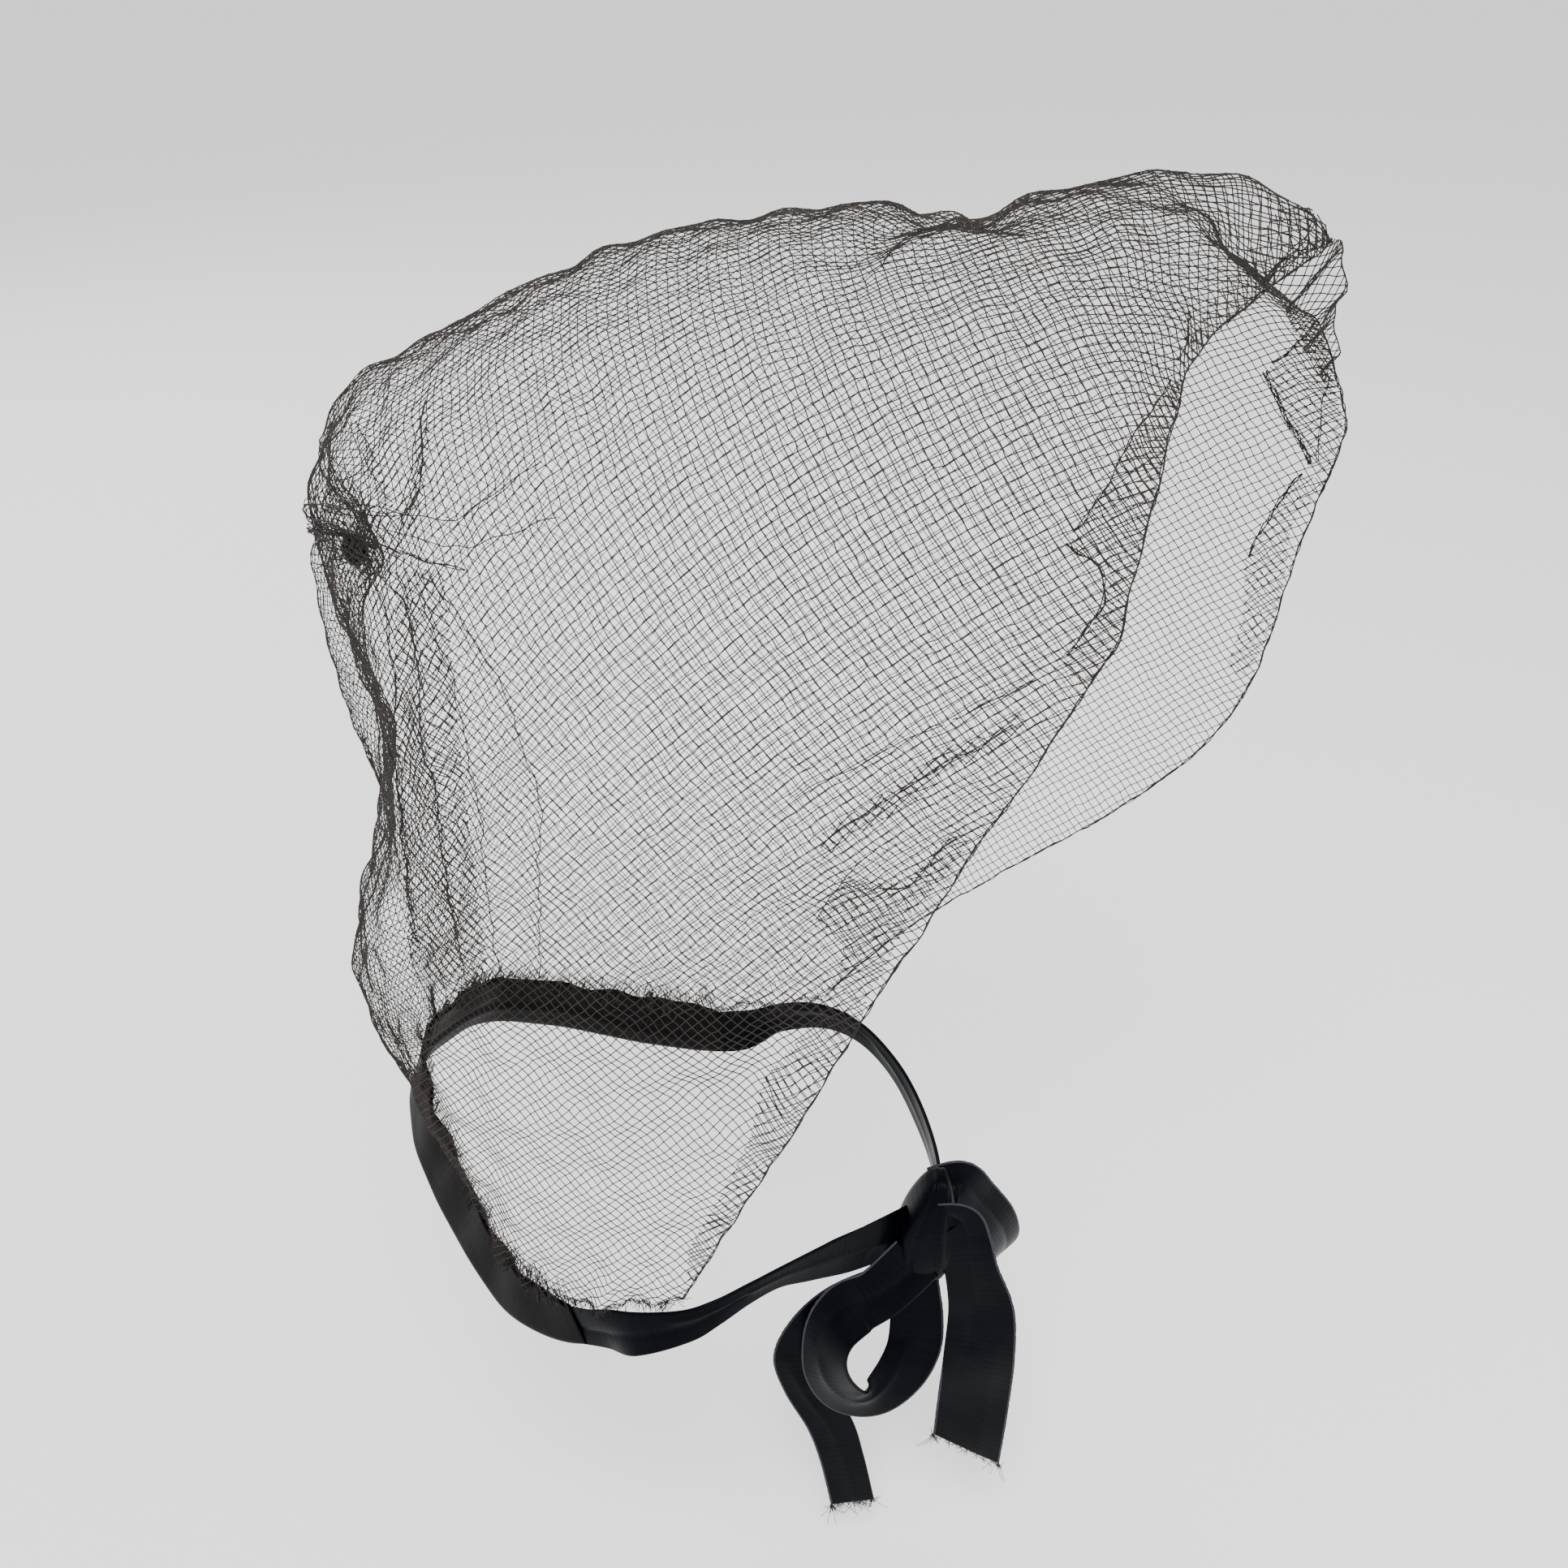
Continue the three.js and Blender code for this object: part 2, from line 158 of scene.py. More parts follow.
# top y and z on the crown line, half width, side y and z, hem x, y and z
ARCHES = np.array([
    [-108, -12, 76, -101, -66, 76, 4, -290],  # front edge
    [-88, 9, 79, -80, -68, 76.5, 17, -296],  # brow
    [-52, 7, 83, -46, -70, 76, 31, -300],  # dimple
    [-8, 2, 87, -8, -76, 74, 46, -304],  # crown
    [40, -9, 88, 30, -91, 70, 58, -303],  # crown back
    [84, -32, 86, 62, -111, 64, 68, -299],  # top slope
    [117, -55, 78, 88, -141, 54, 80, -292],  # bulge top
    [130, -93, 64, 103, -176, 42, 93, -284],  # bulge
    [124, -140, 46, 109, -211, 30, 104, -278],  # fall
    [117, -198, 26, 113, -244, 16, 112, -275],  # nape fall
    [117, -272, 3, 117, -273, 5, 116, -274],  # nape
])

# centre, reach each way, and the push that the net gets there
PUFFS = np.array([
    [22, 125, -138, 30, 70, 74, 0, 26, 0],  # far back puff
    [-25, 112, -138, 34, 50, 52, 0, -20, 0],  # near back hollow
    [-62, 100, -123, 30, 60, 44, 4, -20, 0],  # near corner hollow
    [-2, 125, -96, 16, 60, 18, 0, -22, 0],  # tied gather
    [80, -100, -53, 66, 110, 60, 2, -32, 0],  # left brow reach
    [80, -90, -170, 66, 110, 86, 0, -77, 0],  # left cheek reach
    [-28, 120, -218, 22, 40, 18, -2, 10, -3],  # nape puff
    [22, -46, 8, 34, 12, 30, 0, 0, -6],  # crown dimple
    [48, 96, -288, 30, 40, 40, 3, 14, 0],  # left nape
])


def row_at(rows, place):
    """A table's values at a place between 0 and 1, along a smooth curve through its rows."""
    last = len(rows) - 1
    whole = np.clip(np.floor(place * last), 0, last - 1).astype(int)
    part = (place * last - whole)[..., None]
    a, b, c, d = (rows[np.clip(whole + step, 0, last)] for step in (-1, 0, 1, 2))
    bend = (2 * a - 5 * b + 4 * c - d) * part**2 + (3 * b - a - 3 * c + d) * part**3
    return b + 0.5 * ((c - a) * part + bend)


def hood_form(back, across):
    """The hood without folds. back is 0 at the front edge and 1 at the nape; across is -1 at the right
    end on the casing, 0 on the crown and 1 at the left end."""
    crown_y, crown_z, half, side_y, side_z, hem_x, hem_y, hem_z = np.moveaxis(
        row_at(ARCHES, back), -1, 0)
    share = np.abs(across)
    angle = np.pi / 2 * np.minimum(share / ARC_SHARE, 1)
    over = 1 - np.cos(angle)
    fall = np.maximum(share - ARC_SHARE, 0) / (1 - ARC_SHARE)
    x = np.sign(across) * (half * np.sin(angle) + (hem_x - half) * fall**2)
    y = crown_y + (side_y - crown_y) * over + (hem_y - side_y) * fall
    z = crown_z + (side_z - crown_z) * over + (hem_z - side_z) * fall
    peak = bell(x / PEAK_WIDE) * bell(back / PEAK_DEEP)
    point = np.stack([x, y - PEAK_REACH * peak, z + PEAK_LIFT * peak], -1)
    moved = point.copy()
    for puff in PUFFS:
        away = size_of((point - puff[:3]) / puff[3:6])
        moved += bell(away)[..., None] * puff[6:]
    return moved


def form_normal(back, across, step=0.004):
    b0, b1 = np.clip(back - step, 0, 1), np.clip(back + step, 0, 1)
    a0, a1 = np.clip(across - step, -1, 1), np.clip(across + step, -1, 1)
    along_back = hood_form(b1, across) - hood_form(b0, across)
    along_arch = hood_form(back, a1) - hood_form(back, a0)
    return unit(np.cross(along_arch, along_back))


print("crown point", hood_form(np.array(0.3), np.array(0.0)).round(1))

# %% [markdown]
# A line of the photograph becomes a line on the hood by rays: each ray is followed from the camera to
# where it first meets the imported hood, in steps of about ten pixels.

# %% Lines of the photograph on the hood
LINE_STEP = 10
hood_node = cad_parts["net_hood"]
hood_tree = BVHTree.FromPolygons(
    [hood_node.matrix_world @ v.co for v in hood_node.data.vertices],
    [tuple(p.vertices) for p in hood_node.data.polygons],
)


def hood_hit(pixel):
    """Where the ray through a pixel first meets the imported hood, in millimetres, or None."""
    hit = hood_tree.ray_cast(Vector(CAMERA_AT * MM), Vector(ray_way(pixel)))[0]
    return None if hit is None else np.array(hit) / MM


def on_hood(pixels):
    """A line of the photograph as points on the hood, about two millimetres apart."""
    pixels = np.array(pixels, float)
    hits = []
    for start, end in zip(pixels[:-1], pixels[1:]):
        count = max(1, round(np.linalg.norm(end - start) / LINE_STEP))
        hits += [hood_hit(start + (end - start) * share) for share in np.arange(count) / count]
    return np.array([hit for hit in hits if hit is not None])


def line_distance(points, line):
    """The distance from each point to a line of points."""
    start, way = line[:-1], np.diff(line, axis=0)
    square = np.maximum((way**2).sum(-1), 1e-9)
    nearest = np.full(len(points), np.inf)
    for at, run, run_square in zip(start, way, square):
        along = np.clip((points - at) @ run / run_square, 0, 1)
        nearest = np.minimum(nearest, size_of(points - at - along[:, None] * run))
    return nearest


print("hood", len(hood_node.data.polygons), "faces")

# %% [markdown]
# Folds make the net read as cloth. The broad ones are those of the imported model: pleats round the tied
# gather at the back, gathers above the casing, and a few creases. Finer ones are added here: sharp folds
# along lines read off the photograph, small gathers at the hem, and a slight seeded ripple that no two
# places share. All of them push a point along the form's own normal, so nothing slides off its place.

# %% Folds
# from, to, width and depth
CREASES = np.array([
    [-4, -136, -2, -36, -106, -24, 7, 4],  # front gather
    [-80, -76, -124, -82, -30, -156, 13, 4.5],  # cheek fold
    [-78, -52, -166, -78, -10, -211, 13, 4.5],  # jaw fold
    [30, -46, 2, -24, -30, 4, 9, 4],  # crown crease
])
TIED_X, TIED_Z, TIED_BACK = -3, -98, 27 / 38
RAY_FOLDS, RAY_DEEP, RAY_RISE, RAY_FADE, RAY_START, RAY_BLEND = 9, 1.0, 26, 95, 80, 8
GATHER_PITCH, GATHER_DEEP, GATHER_FADE, GATHER_START = 21, 1.8, 34, 0.2
FINE_PITCH, FINE_DEEP, FINE_FADE = 6.3, 0.9, 16
FINE_SHIFT, FINE_WAVE = 1.7, 5.1
RIPPLE_DEEP, RIPPLE_SUM = 0.45, 1.6
FOLD_REACH, FOLD_SHARP = 4, 1.4

# width, height, then the line in the photograph
SHARP_FOLDS = [
    (2.0, 1.6, [(398, 544), (440, 600), (489, 658)]),
    (1.8, 1.6, [(436, 511), (464, 590), (490, 655)]),
    (1.8, 1.6, [(531, 502), (522, 580), (496, 663)]),
    (1.8, 1.2, [(492, 458), (484, 480), (479, 500)]),
    (2.2, 1.6, [(501, 700), (541, 695), (620, 680), (690, 640)]),
    (2.2, 1.6, [(520, 676), (580, 640), (676, 574)]),
    (2.4, 2.0, [(490, 710), (490, 860), (500, 1010), (520, 1160)]),
    (2.4, 2.0, [(512, 720), (530, 860), (548, 1010), (575, 1180)]),
    (2.4, 1.8, [(524, 715), (570, 860), (600, 1010), (618, 1190)]),
    (2.4, 1.6, [(540, 708), (620, 830), (670, 980), (668, 1210)]),
    (2.0, 1.2, [(560, 700), (660, 780), (740, 900), (760, 1060)]),
    (1.8, 1.6, [(980, 976), (1019, 957), (1097, 914), (1172, 882), (1286, 830)]),
    (2.0, 2.0, [(1083, 1094), (1116, 1094), (1136, 1071), (1162, 1041), (1188, 1022)]),
    (1.8, 1.4, [(1005, 1132), (1040, 1082), (1068, 1048)]),
    (2.0, 1.6, [(1198, 249), (1172, 286), (1130, 302), (1073, 343)]),
    (1.8, 1.6, [(1464, 380), (1450, 455)]),
    (1.8, 1.4, [(1369, 601), (1448, 546)]),
    (1.8, 1.6, [(940, 1330), (975, 1385)]),
]
fold_lines = [(wide, high, on_hood(line)) for wide, high, line in SHARP_FOLDS]


ripple_random = np.random.default_rng(3)
RIPPLES = [
    (ripple_random.normal(0, 2 * np.pi / length, 3), ripple_random.uniform(0, 2 * np.pi))
    for length in (70, 60, 52, 44, 38, 32, 26, 20, 15)
]


def ripple(points):
    waves = [np.sin(points @ way + start) for way, start in RIPPLES]
    return RIPPLE_DEEP * np.sum(waves, axis=0) / RIPPLE_SUM


def fold_height(back, across, point):
    """How far the folds push a point of the form out along its normal."""
    away = np.hypot(point[:, 0] - TIED_X, point[:, 2] - TIED_Z)
    angle = np.arctan2(point[:, 0] - TIED_X, point[:, 2] - TIED_Z)
    behind = 1 / (1 + np.exp(-(point[:, 1] - RAY_START) / RAY_BLEND))
    swell = np.tanh(away / RAY_RISE) * bell(away / RAY_FADE) * behind
    height = RAY_DEEP * np.cos(RAY_FOLDS * angle) * swell
    side = np.where(across < 0, -1.0, 1.0)
    hem = hood_form(back, side)
    above = size_of(point - hem)
    along = hem[:, 1] * side + hem[:, 0]
    held = np.clip(back / GATHER_START, 0, 1)
    height += GATHER_DEEP * held * np.cos(2 * np.pi * along / GATHER_PITCH) * bell(above / GATHER_FADE)
    uneven = along + FINE_SHIFT * np.sin(along / FINE_WAVE)
    height += FINE_DEEP * held * np.cos(2 * np.pi * uneven / FINE_PITCH) * bell(above / FINE_FADE)
    for crease in CREASES:
        height -= crease[7] * bell(line_distance(point, crease[:6].reshape(2, 3)) / crease[6])
    ridge = np.zeros(len(point))
    for wide, high, line in fold_lines:
        reach = size_of(point - line.mean(0))
        near = reach < size_of(line - line.mean(0)).max() + FOLD_REACH * wide
        if near.any():
            rise = high * np.exp(-line_distance(point[near], line) / wide * FOLD_SHARP)
            ridge[near] = np.maximum(ridge[near], rise)
    return height + ridge + ripple(point)


def hood_point(back, across, lift=0.0):
    """The folded net's middle, in millimetres, lifted off it by lift."""
    point = hood_form(back, across)
    normal = form_normal(back, across)
    return point + normal * (fold_height(back, across, point) + lift)[:, None]


print("folds", [len(line) for _, _, line in fold_lines])

# %% [markdown]
# A net keeps the size of its cells, so its threads can't simply follow back and across: they are laid
# out flat first, as the net was cut. Each half of the hood is a grid of springs, as long as they are on
# the form, and the springs are relaxed in the plane until each is nearly its own length again. The crown
# line is held straight as far as the tie, so the two halves meet there thread by thread. Behind the tie
# they part, which is where the real net is drawn into its folds. The grid starts coarse and is made
# finer, which lets the large shape settle quickly, and the right half starts from the left one's shape.

# %% Lay the form out flat
FLAT_LEVELS = ((16, 1600), (31, 1600), (61, 1400))
FINE_GRID = 241
SPRING_HASTE = 1.6
SPARE_FROM, SPARE_TO = 0.3, 0.95
CROWN_STEPS = 301


def springs(grid):
    """The pairs of a grid's points that a spring joins."""
    return [(grid[:-1], grid[1:]), (grid[:, :-1], grid[:, 1:]),
            (grid[:-1, :-1], grid[1:, 1:]), (grid[1:, :-1], grid[:-1, 1:])]


def half_grid(count, side):
    """A square grid over one half of the hood: back, across, and its points on the form."""
    back, across = np.meshgrid(np.linspace(0, 1, count), np.linspace(0, 1, count), indexing="ij")
    across = side * np.maximum(across, 1e-9)
    return back, across, hood_form(back, across)


def finer(grid, count):
    """A grid with more points, in line between its own."""
    at = np.linspace(0, len(grid) - 1, count)
    low = np.minimum(at.astype(int), len(grid) - 2)
    part = at - low
    rows = grid[low] + (grid[low + 1] - grid[low]) * part[:, None, None]
    return rows[:, low] + (rows[:, low + 1] - rows[:, low]) * part[None, :, None]


def flat_half(side, flat=None):
    """Where each point of one half lies in the flat net: s out from the crown line, t to the back."""
    coarse = None
    crown_places = np.linspace(0, 1, CROWN_STEPS)
    crown = lengths_along(hood_form(crown_places, np.full(CROWN_STEPS, side * 1e-9)))
    for count, rounds in FLAT_LEVELS:
        back, across, points = half_grid(count, side)
        rest = [size_of(q - p) for p, q in springs(points)]
        if flat is None:
            s = np.concatenate([np.zeros((count, 1)), np.cumsum(rest[1], axis=1)], axis=1)
            t = np.concatenate([np.zeros((1, count)), np.cumsum(rest[0], axis=0)])
            spare = smooth_step((back - SPARE_FROM) / (SPARE_TO - SPARE_FROM))
            flat = np.stack([s, t + spare * (t[:, :1] - t)], -1)
        else:
            flat = finer(flat, count)
        held = back[:, 0] <= TIED_BACK
        held_at = np.interp(back[held, 0], crown_places, crown)
        joined = np.zeros((count, count, 1))
        for p, q in springs(joined):
            p += 1
            q += 1
        for _ in range(rounds):
            push = np.zeros_like(flat)
            for (p, q), (push_p, push_q), length in zip(springs(flat), springs(push), rest):
                way = q - p
                size = np.maximum(size_of(way), 1e-6)
                move = way * (0.5 - 0.5 * length / size)[..., None]
                push_p += move
                push_q -= move
            flat += push / joined * SPRING_HASTE
            flat[held, 0, 0] = 0
            flat[held, 0, 1] = held_at
        coarse = flat if coarse is None else coarse
    return finer(flat, FINE_GRID), coarse


HALVES = {}
coarse = None
for side in (1, -1):
    back, across, points = half_grid(FINE_GRID, side)
    flat, coarse = flat_half(side, coarse)
    steps = np.linspace(0, 1, FINE_GRID)
    slopes = [np.gradient(flat[..., k], steps, steps) for k in (0, 1)]
    flat_tree, place_tree = KDTree(back.size), KDTree(back.size)
    for number, (spot, point) in enumerate(zip(flat.reshape(-1, 2), points.reshape(-1, 3))):
        flat_tree.insert((*spot, 0), number)
        place_tree.insert(point, number)
    flat_tree.balance()
    place_tree.balance()
    HALVES[side] = {"back": back.ravel(), "across": np.abs(across).ravel(), "flat": flat.reshape(-1, 2),
                    "slopes": [[g.ravel() for g in pair] for pair in slopes],
                    "flat_tree": flat_tree, "place_tree": place_tree}
    stretch = size_of(np.diff(flat, axis=0)) / size_of(np.diff(points, axis=0))
    print("half", side, "reaches", flat.max((0, 1)).round(), "mm; cells from",
          np.percentile(stretch, [5, 50, 95]).round(2), "of their size")

# %% [markdown]
# Three functions go between the flat net and the form: from a flat place to back and across, and from a
# point near the hood to either. They look up the nearest place of the grid, and the first of them also
# follows the grid's slopes, which is exact enough for threads two millimetres apart. A flat place is
# reached when the grid comes within four millimetres of it.

# %% Between the flat net and the form
REACHED = 4
LEAST_SCALE = 100


def place_on_net(side, s, t):
    """back and across of the places at s and t of the flat net, on one half, and whether it reaches them."""
    half = HALVES[side]
    found = [half["flat_tree"].find((x, y, 0))[1:] for x, y in zip(s, t)]
    near, gap = (np.array(values) for values in zip(*found))
    (s_back, s_across), (t_back, t_across) = ([g[near] for g in pair] for pair in half["slopes"])
    ds, dt = s - half["flat"][near, 0], t - half["flat"][near, 1]
    scale = s_across * t_back - s_back * t_across
    scale = np.where(np.abs(scale) < LEAST_SCALE, LEAST_SCALE, scale)
    back = half["back"][near] + (s_across * dt - t_across * ds) / scale
    across = half["across"][near] + (t_back * ds - s_back * dt) / scale
    return back, across * side, gap < REACHED


def flat_of(side, points):
    """The places of points near the hood in one half's flat net."""
    half = HALVES[side]
    return np.array([half["flat"][half["place_tree"].find(point)[1]] for point in points])


def places_of(line):
    """back and across of a line of points near the hood."""
    places = []
    for point in line:
        found = ((*half["place_tree"].find(point)[1:], side) for side, half in HALVES.items())
        number, _, side = min(found, key=lambda hit: hit[1])
        places.append((HALVES[side]["back"][number], HALVES[side]["across"][number] * side))
    return smoothed(places, 3)


print("the crown's middle lies at", flat_of(1, [hood_form(np.array(0.3), np.array(0.0))]).round(1))

# %% [markdown]
# Brown-black cotton thread is never one flat colour: it is dyed unevenly, and its twist shows as fine
# light and dark. One node group gives that, in Object coordinates, and every net piece uses it. The
# ribbon is satin, whose long floats lie across it in a fine rib. A second group makes the rib and the
# uneven sheen from the ribbon's own UV map, which is in metres along and across it.

# %% Node groups
# where a mix node keeps its factor, its two colours and its result
FACTOR, LOW, HIGH, MIXED = 0, 6, 7, 2
MIX_COLOURS = ("ShaderNodeMix", {"data_type": "RGBA"})
MULTIPLY = ("ShaderNodeMath", {"operation": "MULTIPLY"})


def new_group(name, kind, inputs, outputs):
    """A node group with its sockets: each input's name, kind and value, if any, and each output's."""
    group = bpy.data.node_groups.new(name, kind)
    for label, socket_kind, *value in inputs:
        socket = group.interface.new_socket(label, in_out="INPUT", socket_type=socket_kind)
        if value:
            socket.default_value = value[0]
    for label, socket_kind in outputs:
        group.interface.new_socket(label, in_out="OUTPUT", socket_type=socket_kind)
    return group


def add_nodes(group, kinds, joins):
    """A group's nodes by name, each with its settings, joined from an output to an input."""
    made = {"entry": group.nodes.new("NodeGroupInput"), "leave": group.nodes.new("NodeGroupOutput")}
    for name, kind, *settings in kinds:
        node = made[name] = group.nodes.new(kind)
        for key, value in (settings[0] if settings else {}).items():
            if key in node.inputs:
                node.inputs[key].default_value = value
            else:
                setattr(node, key, value)
    for start, output, end, socket in joins:
        group.links.new(made[start].outputs[output], made[end].inputs[socket])
    return made


thread_group = new_group("dyed thread", "ShaderNodeTree", [
    ("Dark", "NodeSocketColor", (0.008, 0.006, 0.005, 1)),
    ("Light", "NodeSocketColor", (0.032, 0.023, 0.019, 1)),
    ("Scale", "NodeSocketFloat", 60.0),
], [("Color", "NodeSocketColor"), ("Height", "NodeSocketFloat")])
add_nodes(thread_group, [
    ("place", "ShaderNodeTexCoord"),
    ("patches", "ShaderNodeTexNoise", {"Detail": 3.0}),
    ("twist", "ShaderNodeTexNoise", {"Scale": 2600.0, "Detail": 2.0}),
    ("both", *MULTIPLY),
    ("spread", "ShaderNodeMapRange", {"From Min": 0.1, "From Max": 0.45}),
    ("colour", *MIX_COLOURS),
], [
    ("place", "Object", "patches", "Vector"), ("entry", "Scale", "patches", "Scale"),
    ("place", "Object", "twist", "Vector"), ("twist", "Fac", "leave", "Height"),
    ("patches", "Fac", "both", 0), ("twist", "Fac", "both", 1), ("both", 0, "spread", "Value"),
    ("spread", 0, "colour", FACTOR), ("entry", "Dark", "colour", LOW),
    ("entry", "Light", "colour", HIGH), ("colour", MIXED, "leave", "Color"),
])

satin_group = new_group("satin weave", "ShaderNodeTree", [
    ("Dark", "NodeSocketColor", (0.0006, 0.0006, 0.0009, 1)),
    ("Light", "NodeSocketColor", (0.0018, 0.0020, 0.0030, 1)),
    ("Selvedge", "NodeSocketColor", (0.030, 0.031, 0.036, 1)),
    ("Selvedge At", "NodeSocketFloat", 0.0114),
    ("Ribs", "NodeSocketFloat", 2600.0),
    ("Smooth", "NodeSocketFloat", 0.24),
    ("Worn", "NodeSocketFloat", 0.42),
], [("Color", "NodeSocketColor"), ("Roughness", "NodeSocketFloat"), ("Height", "NodeSocketFloat")])
satin_nodes = add_nodes(satin_group, [
    ("cloth", "ShaderNodeUVMap", {"uv_map": "cloth"}),
    ("parts", "ShaderNodeSeparateXYZ"),
    ("rib place", *MULTIPLY),
    ("rib", "ShaderNodeMath", {"operation": "SINE"}),
    ("long", "ShaderNodeMapping", {"Scale": (900, 90, 1)}),
    ("floats", "ShaderNodeTexNoise", {"Scale": 1.0, "Detail": 4.0}),
    ("broad", "ShaderNodeMapping", {"Scale": (60, 120, 1)}),
    ("clouds", "ShaderNodeTexNoise", {"Scale": 1.0, "Detail": 3.0}),
    ("height", "ShaderNodeMath", {"operation": "MULTIPLY_ADD"}),
    ("tone", *MULTIPLY),
    ("spread", "ShaderNodeMapRange", {"From Min": 0.12, "From Max": 0.42}),
    ("body", *MIX_COLOURS),
    ("off middle", "ShaderNodeMath", {"operation": "ABSOLUTE"}),
    ("at selvedge", "ShaderNodeMath", {"operation": "GREATER_THAN"}),
    ("edged", *MIX_COLOURS),
    ("gloss", "ShaderNodeMapRange", {"From Min": 0.3, "From Max": 0.7}),
], [
    ("cloth", "UV", "parts", "Vector"), ("parts", "X", "rib place", 0), ("entry", "Ribs", "rib place", 1),
    ("rib place", 0, "rib", 0), ("cloth", "UV", "long", "Vector"), ("long", "Vector", "floats", "Vector"),
    ("cloth", "UV", "broad", "Vector"), ("broad", "Vector", "clouds", "Vector"),
    ("rib", 0, "height", 0), ("floats", "Fac", "height", 2), ("height", 0, "leave", "Height"),
    ("floats", "Fac", "tone", 0), ("clouds", "Fac", "tone", 1), ("tone", 0, "spread", "Value"),
    ("spread", 0, "body", FACTOR), ("entry", "Dark", "body", LOW), ("entry", "Light", "body", HIGH),
    ("parts", "Y", "off middle", 0), ("off middle", 0, "at selvedge", 0),
    ("entry", "Selvedge At", "at selvedge", 1), ("at selvedge", 0, "edged", FACTOR),
    ("body", MIXED, "edged", LOW), ("entry", "Selvedge", "edged", HIGH), ("edged", MIXED, "leave", "Color"),
    ("clouds", "Fac", "gloss", "Value"), ("entry", "Smooth", "gloss", "To Min"),
    ("entry", "Worn", "gloss", "To Max"), ("gloss", 0, "leave", "Roughness"),
])
RIB_HEIGHT = 0.3
satin_nodes["height"].inputs[1].default_value = RIB_HEIGHT
print("groups", thread_group.name, satin_group.name)

# %% [markdown]
# Four materials come from the two groups: the net's thread, a darker copy of it for folds, edges and
# gathers whose extra darkness is painted shade, the ribbon's satin, and the rougher satin of the casing,
# whose seam has pulled it dull.

# %% Materials
def group_material(name, group, values, shader_values, bump_strength, bump_height):
    """A material whose shader takes the group's colour and roughness, with a bump of its height."""
    material = bpy.data.materials.new(name)
    material.use_nodes = True
    tree = material.node_tree
    shader = tree.nodes["Principled BSDF"]
    node = tree.nodes.new("ShaderNodeGroup")
    node.node_tree = group
    rise = tree.nodes.new("ShaderNodeBump")
    bump = {"Strength": bump_strength, "Distance": bump_height}
    for target, settings in ((node, values), (shader, shader_values), (rise, bump)):
        for socket, value in settings.items():
            target.inputs[socket].default_value = value
    tree.links.new(node.outputs["Color"], shader.inputs["Base Color"])
    if "Roughness" in node.outputs:
        tree.links.new(node.outputs["Roughness"], shader.inputs["Roughness"])
    tree.links.new(node.outputs["Height"], rise.inputs["Height"])
    tree.links.new(rise.outputs["Normal"], shader.inputs["Normal"])
    return material


THREAD = group_material(
    "net thread", thread_group, {}, {"Roughness": 0.75, "Specular IOR Level": 0.3}, 0.4, 0.00005)
# a darker copy of the net thread for folds, edges, gathers and knots: its extra darkness is painted shade
FOLD_SHADE_THREAD = group_material(
    "thread with painted fold shade", thread_group,
    {"Dark": (0.006, 0.0045, 0.004, 1), "Light": (0.022, 0.016, 0.014, 1), "Scale": 90.0},
    {"Roughness": 0.8, "Specular IOR Level": 0.3}, 0.4, 0.00005)
SATIN = group_material(
    "black satin", satin_group, {},
    {"Specular IOR Level": 0.04, "Specular Tint": (0.7, 0.8, 1.0, 1)}, 0.35, 0.00006)
CASING_SATIN = group_material(
    "casing satin", satin_group,
    {"Dark": (0.0012, 0.0011, 0.0011, 1), "Light": (0.0042, 0.0039, 0.0038, 1), "Smooth": 0.44,
     "Worn": 0.58, "Selvedge At": 1.0},
    {"Specular IOR Level": 0.045}, 0.4, 0.00006)
print("materials", [m.name for m in (THREAD, FOLD_SHADE_THREAD, SATIN, CASING_SATIN)])

# %% [markdown]
# A thread is a line until it gets its thickness. Each net piece starts as a mesh of edges only, and one
# Geometry Nodes group turns the edges into closed three-sided tubes and sets a small eight-sided knot
# at every crossing. The result is kept as a plain mesh. Three sides are enough for a thread a third of a
# millimetre thick, and they keep tens of thousands of cells light.

# %% Thread tubes
THREAD_NODES = new_group("thread tubes", "GeometryNodeTree", [
    ("Geometry", "NodeSocketGeometry"), ("Thread", "NodeSocketFloat"), ("Knot", "NodeSocketFloat"),
], [("Geometry", "NodeSocketGeometry")])
add_nodes(THREAD_NODES, [
    ("lines", "GeometryNodeMeshToCurve"),
    ("round", "GeometryNodeCurvePrimitiveCircle", {"Resolution": 3}),
    ("tube", "GeometryNodeCurveToMesh", {"Fill Caps": True}),
    ("ball", "GeometryNodeMeshUVSphere", {"Segments": 4, "Rings": 2}),
    ("is knot", "GeometryNodeInputNamedAttribute", {"data_type": "BOOLEAN", "Name": "knot"}),
    ("spots", "GeometryNodeInstanceOnPoints"),
    ("real", "GeometryNodeRealizeInstances"),
    ("join", "GeometryNodeJoinGeometry"),
    ("smooth", "GeometryNodeSetShadeSmooth"),
], [
    ("entry", "Geometry", "lines", "Mesh"), ("entry", "Thread", "round", "Radius"),
    ("lines", "Curve", "tube", "Curve"), ("round", "Curve", "tube", "Profile Curve"),
    ("entry", "Geometry", "spots", "Points"), ("is knot", "Attribute", "spots", "Selection"),
    ("entry", "Knot", "ball", "Radius"), ("ball", "Mesh", "spots", "Instance"),
    ("spots", "Instances", "real", "Geometry"), ("real", "Geometry", "join", 0),
    ("tube", "Mesh", "join", 0), ("join", "Geometry", "smooth", "Geometry"),
    ("smooth", "Geometry", "leave", "Geometry"),
])


